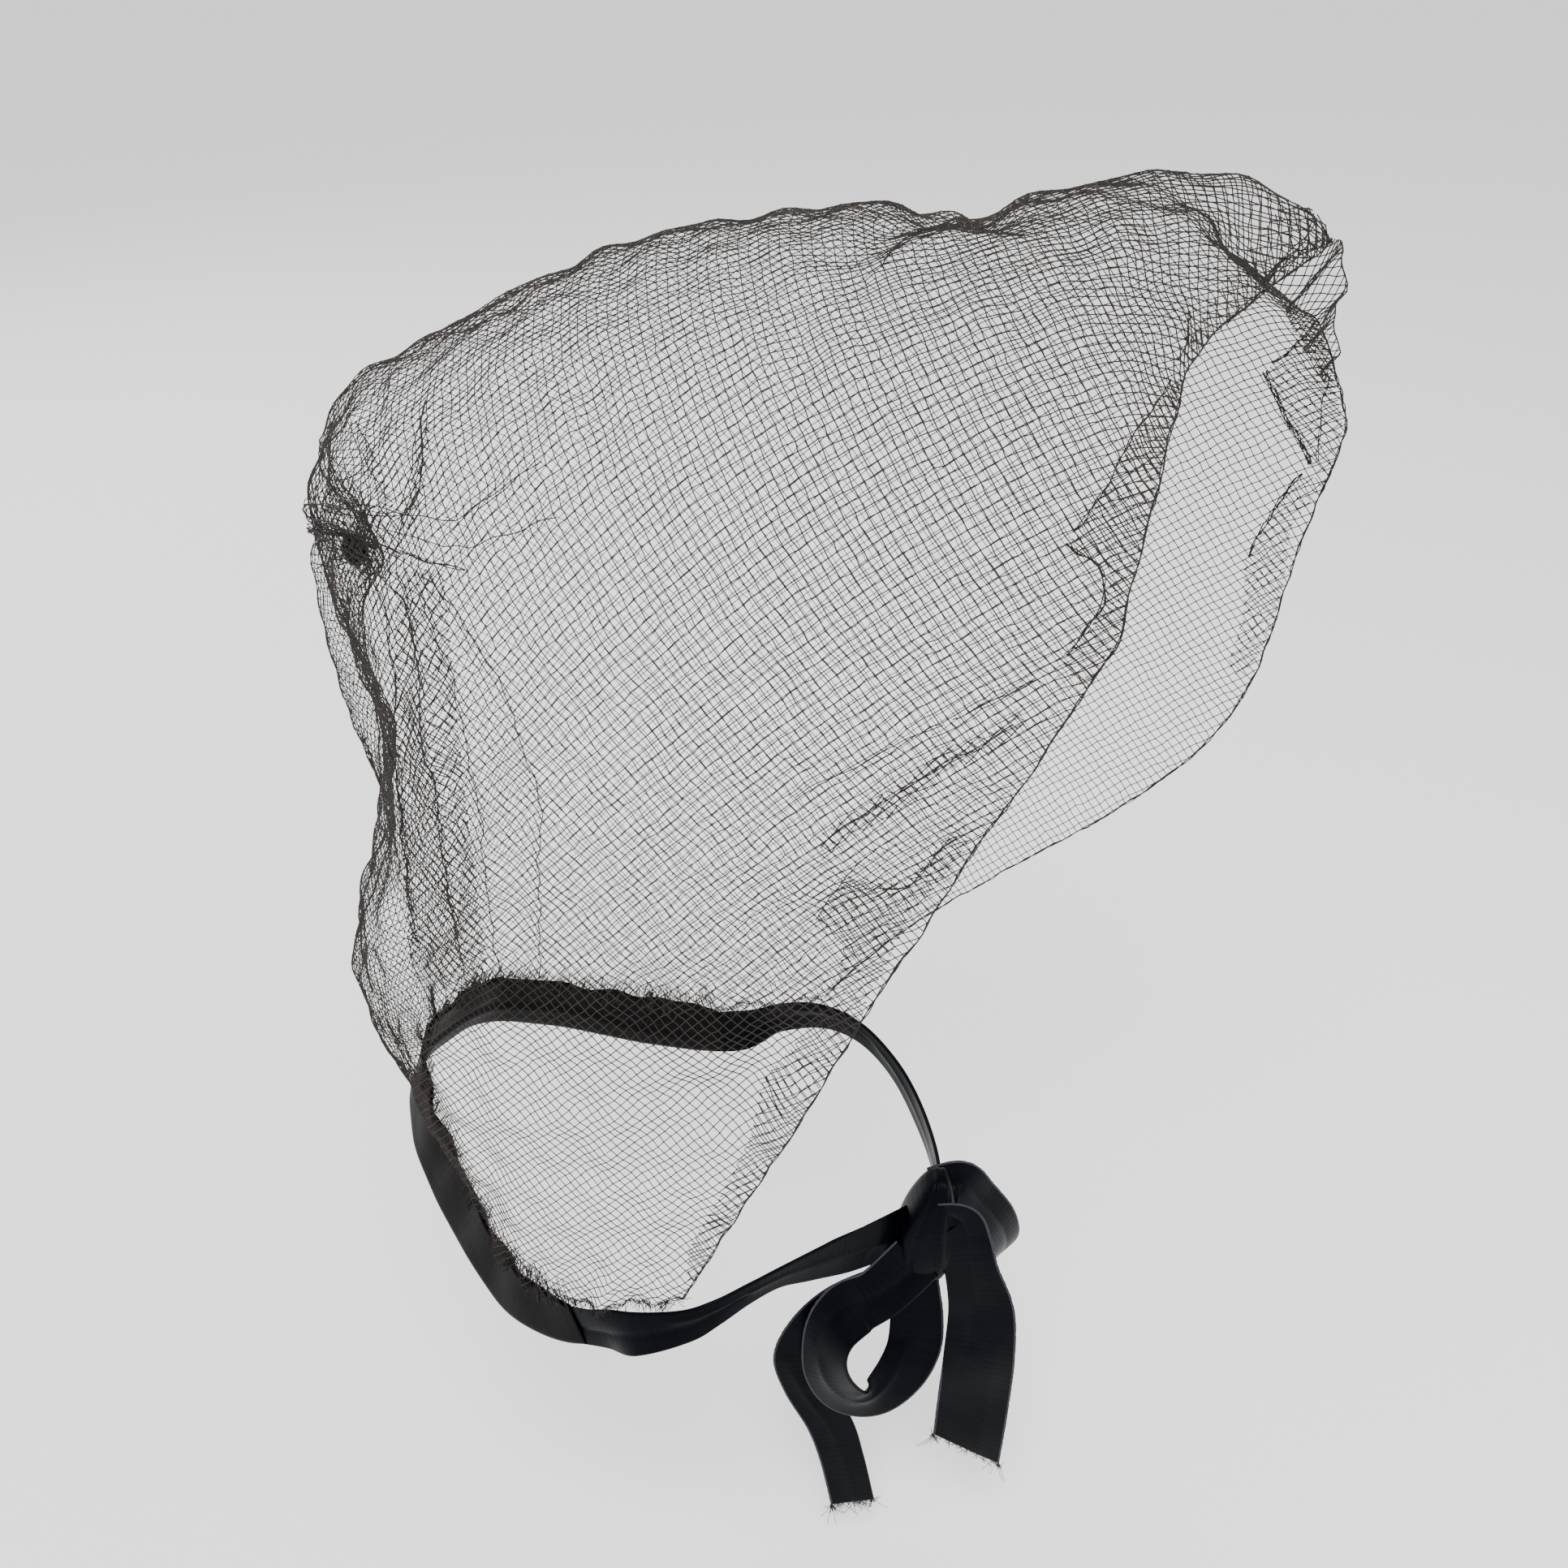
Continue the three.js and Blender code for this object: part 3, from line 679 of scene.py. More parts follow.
def thread_piece(name, node, points, edges, knots, material, thread, knot=0.0):
    """A piece of thread from points and edges in millimetres, with a knot where knots says so."""
    mesh = bpy.data.meshes.new(name)
    mesh.vertices.add(len(points))
    mesh.vertices.foreach_set("co", (points * MM).astype(np.float32).ravel())
    mesh.edges.add(len(edges))
    mesh.edges.foreach_set("vertices", np.asarray(edges, np.int32).ravel())
    flag = mesh.attributes.new("knot", "BOOLEAN", "POINT")
    flag.data.foreach_set("value", np.asarray(knots, bool))
    piece = put(name, mesh)
    tubes = piece.modifiers.new("tubes", "NODES")
    tubes.node_group = THREAD_NODES
    sockets = {s.name: s.identifier for s in THREAD_NODES.interface.items_tree if s.in_out == "INPUT"}
    tubes[sockets["Thread"]] = thread * MM
    tubes[sockets["Knot"]] = knot * MM
    done = bpy.data.meshes.new_from_object(piece.evaluated_get(bpy.context.evaluated_depsgraph_get()))
    piece.modifiers.clear()
    piece.data = done
    done.name = name
    bpy.data.meshes.remove(mesh)
    done.materials.clear()
    done.materials.append(material)
    for attribute in [a.name for a in done.attributes if a.name in ("knot", "UVMap", "rest_position")]:
        done.attributes.remove(done.attributes[attribute])
    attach(piece, "root")
    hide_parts(node)
    print(name, "edges", len(edges), "triangles", sum(len(p.vertices) - 2 for p in done.polygons))
    return piece


print("tube nodes", len(THREAD_NODES.nodes))

# %% [markdown]
# The net is knotted from two families of threads that cross the flat net at an angle to the crown line.
# At the temples this brings the cells' diagonals along the front edge, as in the photograph. The left
# half mirrors the right one, so each thread meets its fellow on the crown line. Nodes sit at even steps
# in the flat net, a little uneven, and where a thread leaves its area it is cut off at the border. Each
# half is cut into parts only to keep the pieces light.

# %% Lay a net
CELL = 2.42
THREAD_RADIUS = 0.17
KNOT_RADIUS = 0.3
NET_TURN = -19
UNEVEN = 0.13
SHORTEST_EDGE, LONGEST_EDGE = 0.02, 9
CUT_ROUNDS = 6
unevenness = np.random.default_rng(11).normal(0, UNEVEN, (2, 256, 256))


def area_of(piece):
    """The thread's own covered area, half of its surface, in square metres."""
    mesh = piece.data
    areas = np.empty(len(mesh.polygons))
    mesh.polygons.foreach_get("area", areas)
    return float(areas.sum()) / 2


def lattice(low, high, shift, turn):
    """The nodes of a net over a flat area from low to high, as a grid of spots."""
    angle = math.radians(turn)
    axes = np.array([[math.cos(angle), math.sin(angle)], [-math.sin(angle), math.cos(angle)]])
    corners = np.array([(s, t) for s in (low[0], high[0]) for t in (low[1], high[1])]) - shift
    numbers = corners @ axes.T / CELL
    first, last = np.floor(numbers.min(0)).astype(int), np.ceil(numbers.max(0)).astype(int) + 1
    column, row = np.meshgrid(np.arange(first[0], last[0]), np.arange(first[1], last[1]), indexing="ij")
    spots = np.stack([column, row], -1) * CELL @ axes + shift
    return spots + np.moveaxis(unevenness[:, column % 256, row % 256], 0, -1)


def knotted_piece(name, spots, places, near, kept_at, point_at, fine=1.0):
    """A piece of net from the places of its nodes, kept where kept_at says and laid by point_at."""
    within = kept_at(places) & near
    number = np.arange(len(places)).reshape(spots.shape[:2])
    along = np.stack([number[:, :-1].ravel(), number[:, 1:].ravel()], 1)
    over = np.stack([number[:-1].ravel(), number[1:].ravel()], 1)
    kept_places, edges, flags, total = [], [], [], 0
    for family, pairs in enumerate((along, over)):
        one, two = within[pairs[:, 0]], within[pairs[:, 1]]
        used = np.flatnonzero(within)
        new_number = np.full(len(places), -1)
        new_number[used] = total + np.arange(len(used))
        kept_places.append(places[used])
        flags.append(np.full(len(used), family == 0))
        edges.append(new_number[pairs[one & two]])
        total += len(used)
        cuts = pairs[(one != two) & near[pairs].all(1)]
        kept = np.where(within[cuts[:, 0]], cuts[:, 0], cuts[:, 1])
        lost = np.where(within[cuts[:, 0]], cuts[:, 1], cuts[:, 0])
        low, high = places[kept], places[lost]
        for _ in range(CUT_ROUNDS):
            middle = (low + high) / 2
            good = kept_at(middle)[:, None]
            low, high = np.where(good, middle, low), np.where(good, high, middle)
        kept_places.append(low)
        flags.append(np.zeros(len(low), bool))
        edges.append(np.stack([new_number[kept], total + np.arange(len(low))], 1))
        total += len(low)
    points = point_at(np.concatenate(kept_places))
    edges, flags = np.concatenate(edges), np.concatenate(flags)
    size = size_of(points[edges[:, 0]] - points[edges[:, 1]])
    edges = edges[(size > SHORTEST_EDGE) & (size < LONGEST_EDGE)]
    piece = thread_piece(name, "net_hood", points, edges, flags, THREAD, THREAD_RADIUS * fine,
                         KNOT_RADIUS * fine)
    count = int(flags.sum())
    area_of(piece)
    print("   nodes", count, "flat net", round(count * (CELL * MM)**2, 4), "m2, thread",
          round(area_of(piece), 4))


def net_piece(name, side, low, high, inside, lift=0.0, shift=(0.0, 0.0), turn=NET_TURN, fine=1.0):
    """A piece of net over one half of the hood where inside(back, across) is true."""
    spots = lattice(low, high, shift, turn)
    back, across, near = place_on_net(side, spots[..., 0].ravel(), spots[..., 1].ravel())

    def kept_at(places):
        back, across = places.T
        whole = (back >= 0) & (back <= 1) & (across * side >= -1e-6) & (across * side <= 1)
        return whole & inside(back, across)

    knotted_piece(name, spots, np.stack([back, across], 1), near, kept_at,
                  lambda places: hood_point(*places.T, lift), fine)


print("cell", CELL, "mm, thread", 2 * THREAD_RADIUS, "mm")

# %% [markdown]
# The net itself is laid in three parts to each half. Toward the back its thread is drawn a little finer,
# because the cells lie closer there and the whole would else read too dark.

# %% Main net
# name, from and to along the way back, and how fine the drawn thread is
NET_PARTS = [("front", 0.0, 0.26, 1.0), ("middle", 0.26, 0.54, 0.94), ("back", 0.54, 1.1, 0.86)]
for side, side_name in ((-1, "right"), (1, "left")):
    flat = HALVES[side]["flat"]
    for part_name, low, high, fine in NET_PARTS:
        net_piece(f"net_{side_name}_{part_name}", side, flat.min(0), flat.max(0),
                  lambda back, across, low=low, high=high: (back >= low) & (back < high), fine=fine)

# %% [markdown]
# In several places the net lies double: the front edge is turned back with a wavy inner edge, and folds
# lie flat along the side and the lower front edge and run together into the tied gather. Each is a
# second layer of the same net just outside or inside the first, with its lattice moved and turned. Its
# border is read off the photograph, so the layer is kept where the form, seen from the camera, falls
# inside that border.

# %% Doubled net
PAST_CROWN = 4
LAYER_MARGIN = 8


def in_border(pixels, border):
    """Whether each pixel falls inside a closed border."""
    inside = np.zeros(len(pixels), bool)
    for (x0, y0), (x1, y1) in zip(border, border[1:] + border[:1]):
        spans = (y0 > pixels[:, 1]) != (y1 > pixels[:, 1])
        cross = x0 + (pixels[:, 1] - y0) * (x1 - x0) / (y1 - y0 + 1e-9)
        inside ^= spans & (pixels[:, 0] < cross)
    return inside


def doubled_net(name, side, border, lift, shift, turn):
    """A second layer of net inside a border of the photograph, on one half."""
    line = on_hood(border + border[:1])
    spots = flat_of(side, line[line[:, 0] * side > -PAST_CROWN])

    def inside(back, across):
        back, across = np.clip(back, 0, 1), side * np.clip(across * side, 0, 1)
        away = CAMERA_AT - hood_form(back, across)
        seen = (away * form_normal(back, across)).sum(-1) * side < 0
        return seen & in_border(picture_of(hood_point(back, across, lift)), border)

    net_piece(name, side, spots.min(0) - LAYER_MARGIN, spots.max(0) + LAYER_MARGIN, inside, lift, shift, turn)


# name, half, border, lift off the net, shift of the lattice, and its turn
DOUBLED = [
    ("front_turned_net", -1,
     [(1465, 470), (1428, 621), (1413, 715), (1400, 750), (1366, 803), (1336, 853), (1308, 819),
      (1360, 751), (1365, 704), (1324, 683), (1318, 668), (1360, 605), (1402, 532), (1454, 464)],
     -0.9, (0.9, 0.6), -27),
    ("far_turned_net", 1,
     [(1653, 343), (1644, 400), (1642, 457), (1654, 523), (1652, 562), (1633, 592), (1622, 580),
      (1597, 540), (1580, 507), (1560, 455), (1583, 440), (1603, 420), (1620, 393)],
     -0.9, (0.9, 0.4), -33),
    ("far_lower_turned_net", 1,
     [(1636, 590), (1590, 650), (1584, 707), (1566, 780), (1530, 840), (1512, 820), (1532, 760),
      (1533, 690), (1563, 640), (1587, 600), (1603, 587)],
     -0.9, (0.3, 0.7), -31),
    ("lower_edge_net", -1,
     [(1068, 1236), (1051, 1281), (1036, 1334), (984, 1384), (950, 1449), (917, 1506), (878, 1554),
      (846, 1596), (848, 1540), (890, 1470), (925, 1400), (940, 1330), (985, 1280), (1030, 1215)],
     -0.9, (0.6, 0.9), -12),
    ("side_fold_net", -1,
     [(1009, 1028), (1058, 996), (1123, 958), (1162, 922), (1220, 902), (1256, 872), (1262, 892),
      (1222, 930), (1168, 950), (1128, 990), (1062, 1024), (1014, 1058)],
     0.9, (0.4, 1.1), -31),
    ("jaw_fold_net", -1,
     [(1005, 1132), (1040, 1082), (1083, 1088), (1116, 1088), (1136, 1065), (1162, 1035),
      (1188, 1016), (1196, 1034), (1160, 1085), (1120, 1128), (1091, 1194), (1062, 1236),
      (1030, 1215), (1040, 1165)],
     0.8, (1.1, 0.3), -8),
    ("tied_pleats_net", -1,
     [(398, 544), (436, 590), (476, 643), (464, 616), (445, 555), (436, 511), (458, 552), (478, 600),
      (490, 640), (501, 616), (515, 560), (531, 502), (529, 527), (527, 574), (520, 616), (499, 663),
      (480, 714), (450, 709), (433, 644), (431, 600)],
     1.1, (0.5, 0.8), -39),
    ("tied_fall_net", -1,
     [(487, 705), (545, 700), (552, 760), (560, 860), (575, 1000), (600, 1190), (560, 1230),
      (505, 1180), (492, 1000), (486, 850)],
     1.0, (0.3, 0.5), -33),
    ("peak_net", -1,
     [(1580, 252), (1622, 257), (1650, 290), (1654, 336), (1600, 372), (1540, 400), (1480, 440),
      (1466, 420), (1500, 360), (1545, 300)],
     0.7, (0.5, 0.9), -36),
]
for row in DOUBLED:
    doubled_net(*row)

# %% [markdown]
# At the peak the turned front edge hangs free between the tip and the left half's edge, as a small
# three-cornered fall of net. It is laid flat in its own plane and then given a slight hollow.

# %% Peak fall
FALL_TURN = 28
FALL_MARGIN = 3
# each corner's pixel, and a pixel close by where the hood shows its depth
FALL_CORNERS = [((1560, 345), (1545, 345)), ((1632, 290), (1612, 300)), ((1643, 462), (1622, 480))]
FALL_BORDER = [(1560, 345), (1632, 288), (1652, 296), (1659, 309), (1654, 343), (1646, 400), (1645, 440),
               (1634, 475), (1612, 440), (1590, 395)]
notch, tip, fall_end = (
    CAMERA_AT + ray_way(pixel) * ((hood_hit(close_by) - CAMERA_AT) @ ray_way(pixel))
    for pixel, close_by in FALL_CORNERS)
fall_over = unit(tip - notch)
fall_out = unit(np.cross(fall_over, fall_end - notch))
fall_axes = np.stack([fall_over, np.cross(fall_out, fall_over)], 1)


def fall_place(pixel):
    """The place in the fall's plane that a pixel shows."""
    way = ray_way(pixel)
    point = CAMERA_AT + way * ((notch - CAMERA_AT) @ fall_out) / (way @ fall_out)
    return tuple((point - notch) @ fall_axes)


def fall_point(places):
    """Points of the fall in millimetres, with a long and a short wave over its plane."""
    over, down = places.T
    hollow = 1.4 * np.sin(over / 5 + down / 9) + 0.7 * np.sin(down / 3.1)
    return notch + places @ fall_axes.T + fall_out * hollow[:, None]


fall_border = [fall_place(pixel) for pixel in FALL_BORDER]
spots = lattice(np.min(fall_border, 0) - FALL_MARGIN, np.max(fall_border, 0) + FALL_MARGIN, (0, 0), FALL_TURN)
knotted_piece("peak_fall_net", spots, spots.reshape(-1, 2), np.ones(spots[..., 0].size, bool),
              lambda places: in_border(places, fall_border), fall_point)

# %% [markdown]
# Edges and folds read as bold dark lines, because several threads run together there, and their thread is
# the darker copy, whose extra darkness is painted shade. Each is a bundle: up to six threads along one line
# on the hood, wandering a little about each other. The free front edge is such a bundle from end to end.
# Next to the crown, on the left half, it is a single thread, because the fall of net at the peak has its own
# edge threads there.

# %% Thread bundles
EDGE_PITCH = 165
EDGE_BACK = 0.001
WANDER_FROM, WANDER_TO = 9, 22
THREAD_ROUGH, BUNDLE_FLAT = 0.08, 0.5


def bundle(places, count, spread, lift, random):
    """Threads along a line on the hood, as a list of lines of points."""
    back, across = places[:, 0], places[:, 1]
    middle = hood_point(back, across, lift)
    normal = form_normal(back, across)
    side = unit(np.cross(normal, np.gradient(middle, axis=0)))
    length = lengths_along(middle)
    lines = []
    for _ in range(count):
        wave = random.uniform(WANDER_FROM, WANDER_TO, 2)
        start = random.uniform(0, 2 * np.pi, 2)
        over = spread * np.sin(length / wave[0] * 2 * np.pi + start[0])
        over += random.normal(0, THREAD_ROUGH, len(length))
        out = BUNDLE_FLAT * spread * np.sin(length / wave[1] * 2 * np.pi + start[1])
        lines.append(middle + side * over[:, None] + normal * out[:, None])
    return lines


def one_layer(points, jump=20):
    """The longest run of a line on the hood before a ray slips past a fold onto another layer."""
    steps = size_of(np.diff(points, axis=0))
    return max(np.split(points, np.flatnonzero(steps > jump) + 1), key=len)


def lines_piece(name, node, lines, thread):
    """One piece of several threads, each a line of points."""
    points = np.concatenate(lines)
    starts = np.cumsum([0] + [len(line) for line in lines])
    edges = np.concatenate([
        np.stack([np.arange(a, b - 1), np.arange(a + 1, b)], 1) for a, b in zip(starts[:-1], starts[1:])])
    # every bundle gets the darker thread, whose extra darkness is painted shade
    thread_piece(name, node, points, edges, np.zeros(len(points), bool), FOLD_SHADE_THREAD, thread)


random = np.random.default_rng(21)
# from, to across the hood, and the number of threads
EDGE_RUNS = [(-1, -0.02, 3), (-0.02, 0.2, 1), (0.2, 1, 3)]
lines = []
for low, high, count in EDGE_RUNS:
    edge_across = np.linspace(low, high, round((high - low) * EDGE_PITCH))
    edge_back = np.full(len(edge_across), EDGE_BACK)
    lines += bundle(np.stack([edge_back, edge_across], 1), count, 0.28, 0, random)
lines_piece("front_edge_threads", "net_hood", lines, 0.19)

# %% [markdown]
# The folds' lines come from the photograph. Those on the turned-back net lie inside the hood, so their
# lift is negative, and the others lie outside it.

# %% Bold folds
# number of threads, spread, lift, and the line
BOLD_FOLDS = [
    (2, 0.6, 0.2, [(1622, 257), (1600, 300), (1545, 370), (1465, 450)]),
    (2, 0.3, 0.3, [(1464, 380), (1450, 455)]),
    (2, 0.3, -0.8, [(1454, 464), (1402, 532), (1360, 605), (1318, 668)]),
    (3, 0.4, -0.8, [(1318, 668), (1333, 686), (1365, 704), (1360, 751), (1308, 819)]),
    (1, 0.2, 0.5, [(1369, 601), (1448, 546)]),
    (4, 0.4, -0.8, [(1620, 393), (1603, 420), (1583, 440), (1560, 455)]),
    (6, 0.6, -0.8, [(1560, 455), (1580, 507), (1597, 540), (1620, 580)]),
    (5, 0.5, -0.8, [(1603, 587), (1587, 600), (1563, 640), (1533, 690)]),
    (2, 0.4, -0.8, [(1640, 457), (1628, 500), (1624, 540), (1622, 575)]),
    (1, 0.2, 1.6, [(980, 976), (1019, 957), (1097, 914), (1172, 882)]),
    (2, 0.3, 1.6, [(1172, 882), (1286, 830)]),
    (2, 0.3, 1.0, [(1009, 1038), (1058, 1006), (1123, 970), (1162, 934), (1220, 914), (1253, 885)]),
    (2, 0.3, 1.8, [(1083, 1094), (1116, 1094), (1136, 1071), (1162, 1041), (1188, 1022)]),
    (1, 0.2, 1.2, [(1005, 1132), (1040, 1082), (1068, 1048)]),
    (2, 0.3, 1.2, [(1198, 249), (1172, 286), (1130, 302), (1073, 343)]),
    (1, 0.2, 1.2, [(940, 1330), (975, 1385)]),
    (1, 0.2, 1.4, [(492, 458), (484, 480), (479, 500)]),
    (1, 0.3, 1.2, [(505, 1150), (515, 1200), (545, 1265)]),
    (1, 0.3, 1.2, [(560, 1120), (570, 1180), (580, 1230)]),
    (1, 0.3, 1.2, [(530, 1130), (540, 1190), (562, 1245)]),
]
lines = []
for count, spread, lift, pixels in BOLD_FOLDS:
    lines += bundle(places_of(one_layer(on_hood(pixels))), count, spread, lift, random)

# %% [markdown]
# The folds at the back all run to the tied knot. The photograph gives each one up to where it turns in,
# and from there it goes straight to the knot in the flat net, as a real thread of that net would.

# %% Folds that run to the knot
KNOT_NEAR = 0.95
TURN_STEPS = 14
# number of threads, lift, and the line up to where it turns in to the knot
TIED_FOLDS = [
    (1, 1.6, [(398, 544), (431, 600), (433, 644), (450, 700)]),
    (1, 1.6, [(398, 544), (436, 590), (486, 655)]),
    (1, 1.8, [(436, 511), (445, 555), (464, 616), (485, 653)]),
    (2, 1.8, [(531, 502), (529, 527), (527, 574), (520, 616), (499, 663)]),
    (1, 1.8, [(531, 502), (515, 560), (501, 616), (492, 653)]),
    (3, 1.4, [(578, 700), (541, 695), (501, 690)]),
    (1, 1.4, [(676, 574), (610, 610), (560, 660)]),
    (1, 1.4, [(690, 640), (620, 660), (560, 690)]),
    (2, 1.6, [(520, 1160), (500, 1010), (492, 907), (496, 845), (487, 775), (487, 715)]),
    (2, 1.6, [(575, 1180), (548, 1010), (530, 860), (512, 720)]),
    (1, 1.6, [(618, 1190), (600, 1010), (570, 860), (524, 715)]),
    (1, 1.4, [(668, 1210), (670, 980), (620, 830), (540, 708)]),
]

knot_low, knot_high = (np.array(corner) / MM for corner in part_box("gather_knot"))
knot_middle = (knot_low + knot_high) / 2
knot_flat = flat_of(-1, [knot_middle])[0]
share = np.linspace(0, KNOT_NEAR, TURN_STEPS)[1:, None]
for count, lift, pixels in TIED_FOLDS:
    start = flat_of(-1, one_layer(on_hood(pixels)))
    line = smoothed(np.concatenate([start, start[-1] + (knot_flat - start[-1]) * share]), 4)
    back, across, _ = place_on_net(-1, *line.T)
    places = smoothed(np.stack([np.clip(back, 0, 1), np.clip(across, -1, 0)], 1))
    lines += bundle(places, count, 0.35, lift, random)
print("threads so far", len(lines), "and the knot's middle", knot_middle.round(1))

# %% [markdown]
# The small fall of net at the peak has its own edge threads and folds, which stay in its plane. They join
# the other folds' threads in one piece.

# %% Folds of the peak fall
FALL_FOLD_STEPS = 24
FALL_FOLDS = [
    (3, [(1652, 296), (1659, 309), (1654, 343), (1646, 400), (1645, 440), (1634, 475)]),
    (3, [(1653, 343), (1635, 383), (1614, 430)]),
    (1, [(1630, 372), (1610, 400), (1596, 412)]),
]
for count, pixels in FALL_FOLDS:
    corners = np.array([fall_place(pixel) for pixel in pixels])
    steps = np.linspace(0, len(corners) - 1, FALL_FOLD_STEPS)
    line = np.stack([np.interp(steps, np.arange(len(corners)), corners[:, k]) for k in (0, 1)], 1)
    for _ in range(count):
        lines.append(fall_point(smoothed(line, 3) + random.normal(0, 0.1, line.shape)))
lines_piece("fold_threads", "net_hood", lines, 0.16)

# %% [markdown]
# At the back the net is drawn together and tied. The knot is a small ball of windings, seated where the
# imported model's ball is, with stray ends about it. The drawn-in threads run out from under it over the
# net as a dark star.

# %% Tied gather
WINDINGS, STRAYS, STAR_THREADS = 20, 22, 20
STAR_LIFT = 0.4
STAR_RISE, STAR_ROUND = 4.0, 4.5
knot_radius = float((knot_high - knot_low).mean() / 2)
random = np.random.default_rng(31)
lines = []
for _ in range(WINDINGS):
    axis = unit(random.normal(0, 1, 3))
    side = unit(np.cross(axis, random.normal(0, 1, 3)))
    turn = np.linspace(0, 2 * np.pi * random.uniform(1.5, 2.5), 40)[:, None]
    drift = np.sin(turn * 0.37 + random.uniform(0, 6)) * 0.5
    way = unit(side * np.cos(turn) + np.cross(axis, side) * np.sin(turn) + axis * drift)
    stretch = np.array([1, 1, random.uniform(0.9, 1.35)])
    lines.append(knot_middle + way * stretch * knot_radius * random.uniform(0.45, 0.97))
for _ in range(STRAYS):
    way = unit(random.normal(0, 1, 3) - np.array([0, 0.4, 0]))
    bend = unit(np.cross(way, random.normal(0, 1, 3)))
    out = np.linspace(0.7, random.uniform(1.2, 2.3), 8)[:, None]
    lines.append(knot_middle + (way * out + bend * random.uniform(0.4, 1.3) * (out - 0.7)**2) * knot_radius)
star = []
for number in range(STAR_THREADS):
    angle = 2 * np.pi * (number + random.uniform(-0.3, 0.3)) / STAR_THREADS
    reach = random.choice([9, 14, 20, 30], p=[0.3, 0.3, 0.25, 0.15]) * random.uniform(0.8, 1.2)
    away = np.linspace(1, reach, max(6, int(reach / 1.5)))
    bend = angle + 0.05 * np.sin(away / 5 + random.uniform(0, 6))
    way = np.stack([np.sin(bend), np.zeros_like(bend), np.cos(bend)], -1)
    back, across = places_of(knot_middle + way * away[:, None]).T
    lift = STAR_LIFT + STAR_RISE * bell(away / STAR_ROUND)
    star.append(hood_point(back, across) + form_normal(back, across) * lift[:, None])
lines_piece("tied_knot", "gather_knot", lines, 0.24)
lines_piece("tied_threads", "net_hood", star, 0.16)

# %% [markdown]
# The ribbons follow the same middle lines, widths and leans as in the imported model. A ribbon keeps its
# woven width, so where it looks narrow its spare width is folded flat behind one edge or both. Each
# ribbon starts as a grid whose corners are moved to their places, with more of them at the folds, and
# Solidify gives it the thickness of satin. A few creases run along the faces and catch the light.

# %% Ribbon tables
CASING_TALL = 16.5
CASING_LEAN_BACK = -0.35
CASING_LEAN_SIDE = 0.12
CASING_CENTRE = 40
CASING_STEP = 1 / 24
TIE_START = -5
TIE_STRAIGHT = 8
JOIN_BACK = 0.26
NET_WALL = 1.0
HEM_COVER = 5.5
TIE_RIBBON = 17
BOW_RIBBON = 24

# middle x, y and z, width, and lean of the width away from upright
TIE_RIGHT = [
    [-79, 18, -305, 14, -14],
    [-78, 3, -299, 11, -6],
    [-74, -6, -295, 9.5, 0],
    [-66, -14, -293, 8, 0],
    [-55, -21, -295, 8, 0],
    [-42, -29, -300, 12, 0],
    [-28, -39, -304, 17, 0],
    [-15, -52, -304, 20, 0],
]
TIE_LEFT = [
    [80, 17, -306, 14, 14],
    [76, 0, -299, 11, 6],
    [66, -17, -296, 9, 0],
    [50, -33, -297, 9, 0],
    [30, -46, -300, 11, 0],
    [10, -55, -302, 13, 0],
    [-8, -59, -303, 14, 0],
]
# along, up and out in the bow's own frame, width, and tilt of the width out of the bow's plane
BOW_AT = np.array([-12, -56, -304])
BOW_TURN = math.radians(-75)
KNOT = {"along": 0, "up": -1, "out": 3, "half_along": 9, "half_up": 18, "half_out": 9, "square": 0.6}
LOOP_RIGHT = [
    [-3, -6, 10, 19, 6],
    [-14.5, -16.8, 14, 18, 14],
    [-23.5, -21.5, 16, 19, 22],
    [-30, -29, 18, 17, 32],
    [-32, -40, 18, 16.5, 34],
    [-30, -53, 17, 18, 26],
    [-24, -64, 15, 19, 18],
    [-15.5, -66.5, 13, 19, 10],
    [-7, -60.5, 9, 19, 4],
    [-2, -51, 5, 18, 0],
    [-1.3, -38.5, 2, 17, -4],
    [-1.9, -27, 0, 15, -6],
    [-2.8, -13, -2, 13, -6],
]
LOOP_LEFT = [
    [1, 15, 1, 13, -30],
    [11, 16, 0, 14, -40],
    [18, 5, -3, 15, -44],
    [24.5, -8, -6, 16, -44],
    [27, -21, -10, 16, -46],
    [24, -30, -14, 16, -56],
    [17, -32, -17, 15, -68],
    [11, -27, -15, 13, -74],
    [6.5, -21, -10, 12, -76],
    [2, -15, -4, 12, -78],
]
TAIL_RIGHT = [
    [-2, -17, 2, 11, 0],
    [-14, -22, 4, 12.5, 0],
    [-27, -29, 6, 14, 2],
    [-36, -39.5, 7, 14.5, 4],
    [-41, -53, 7.5, 14.5, 6],
    [-37.5, -67.5, 7.5, 15, 6],
    [-29.5, -84.5, 7.5, 15.5, 2],
    [-25, -102, 7.5, 15, 0],
    [-21, -124.5, 7, 15, 0],
]
TAIL_LEFT = [
    [2, 9, 9, 14, 0],
    [9, 10, 11, 15, 0],
    [12, 2, 11, 15.5, 0],
    [14.5, -11, 10.5, 17, 4],
    [18.5, -29, 10, 21, 6],
    [19, -50, 9.5, 23, 4],
    [18.5, -71.5, 8, 24, 0],
    [17.5, -98.5, 6, 24, 0],
]
TAIL_SLANT = 16
SLANT_SHARE = 0.25
BOW_ALONG = np.array([math.cos(BOW_TURN), math.sin(BOW_TURN), 0])
BOW_OUT = np.array([math.sin(BOW_TURN), -math.cos(BOW_TURN), 0])
WORLD_UP = np.array([0, 0, 1.0])


def turned(vectors, axes, degrees):
    """Vectors turned about unit axes, by an angle for each."""
    angle = np.radians(degrees)[:, None]
    dot = (vectors * axes).sum(-1, keepdims=True)
    return (vectors * np.cos(angle) + np.cross(axes, vectors) * np.sin(angle)
            + axes * dot * (1 - np.cos(angle)))


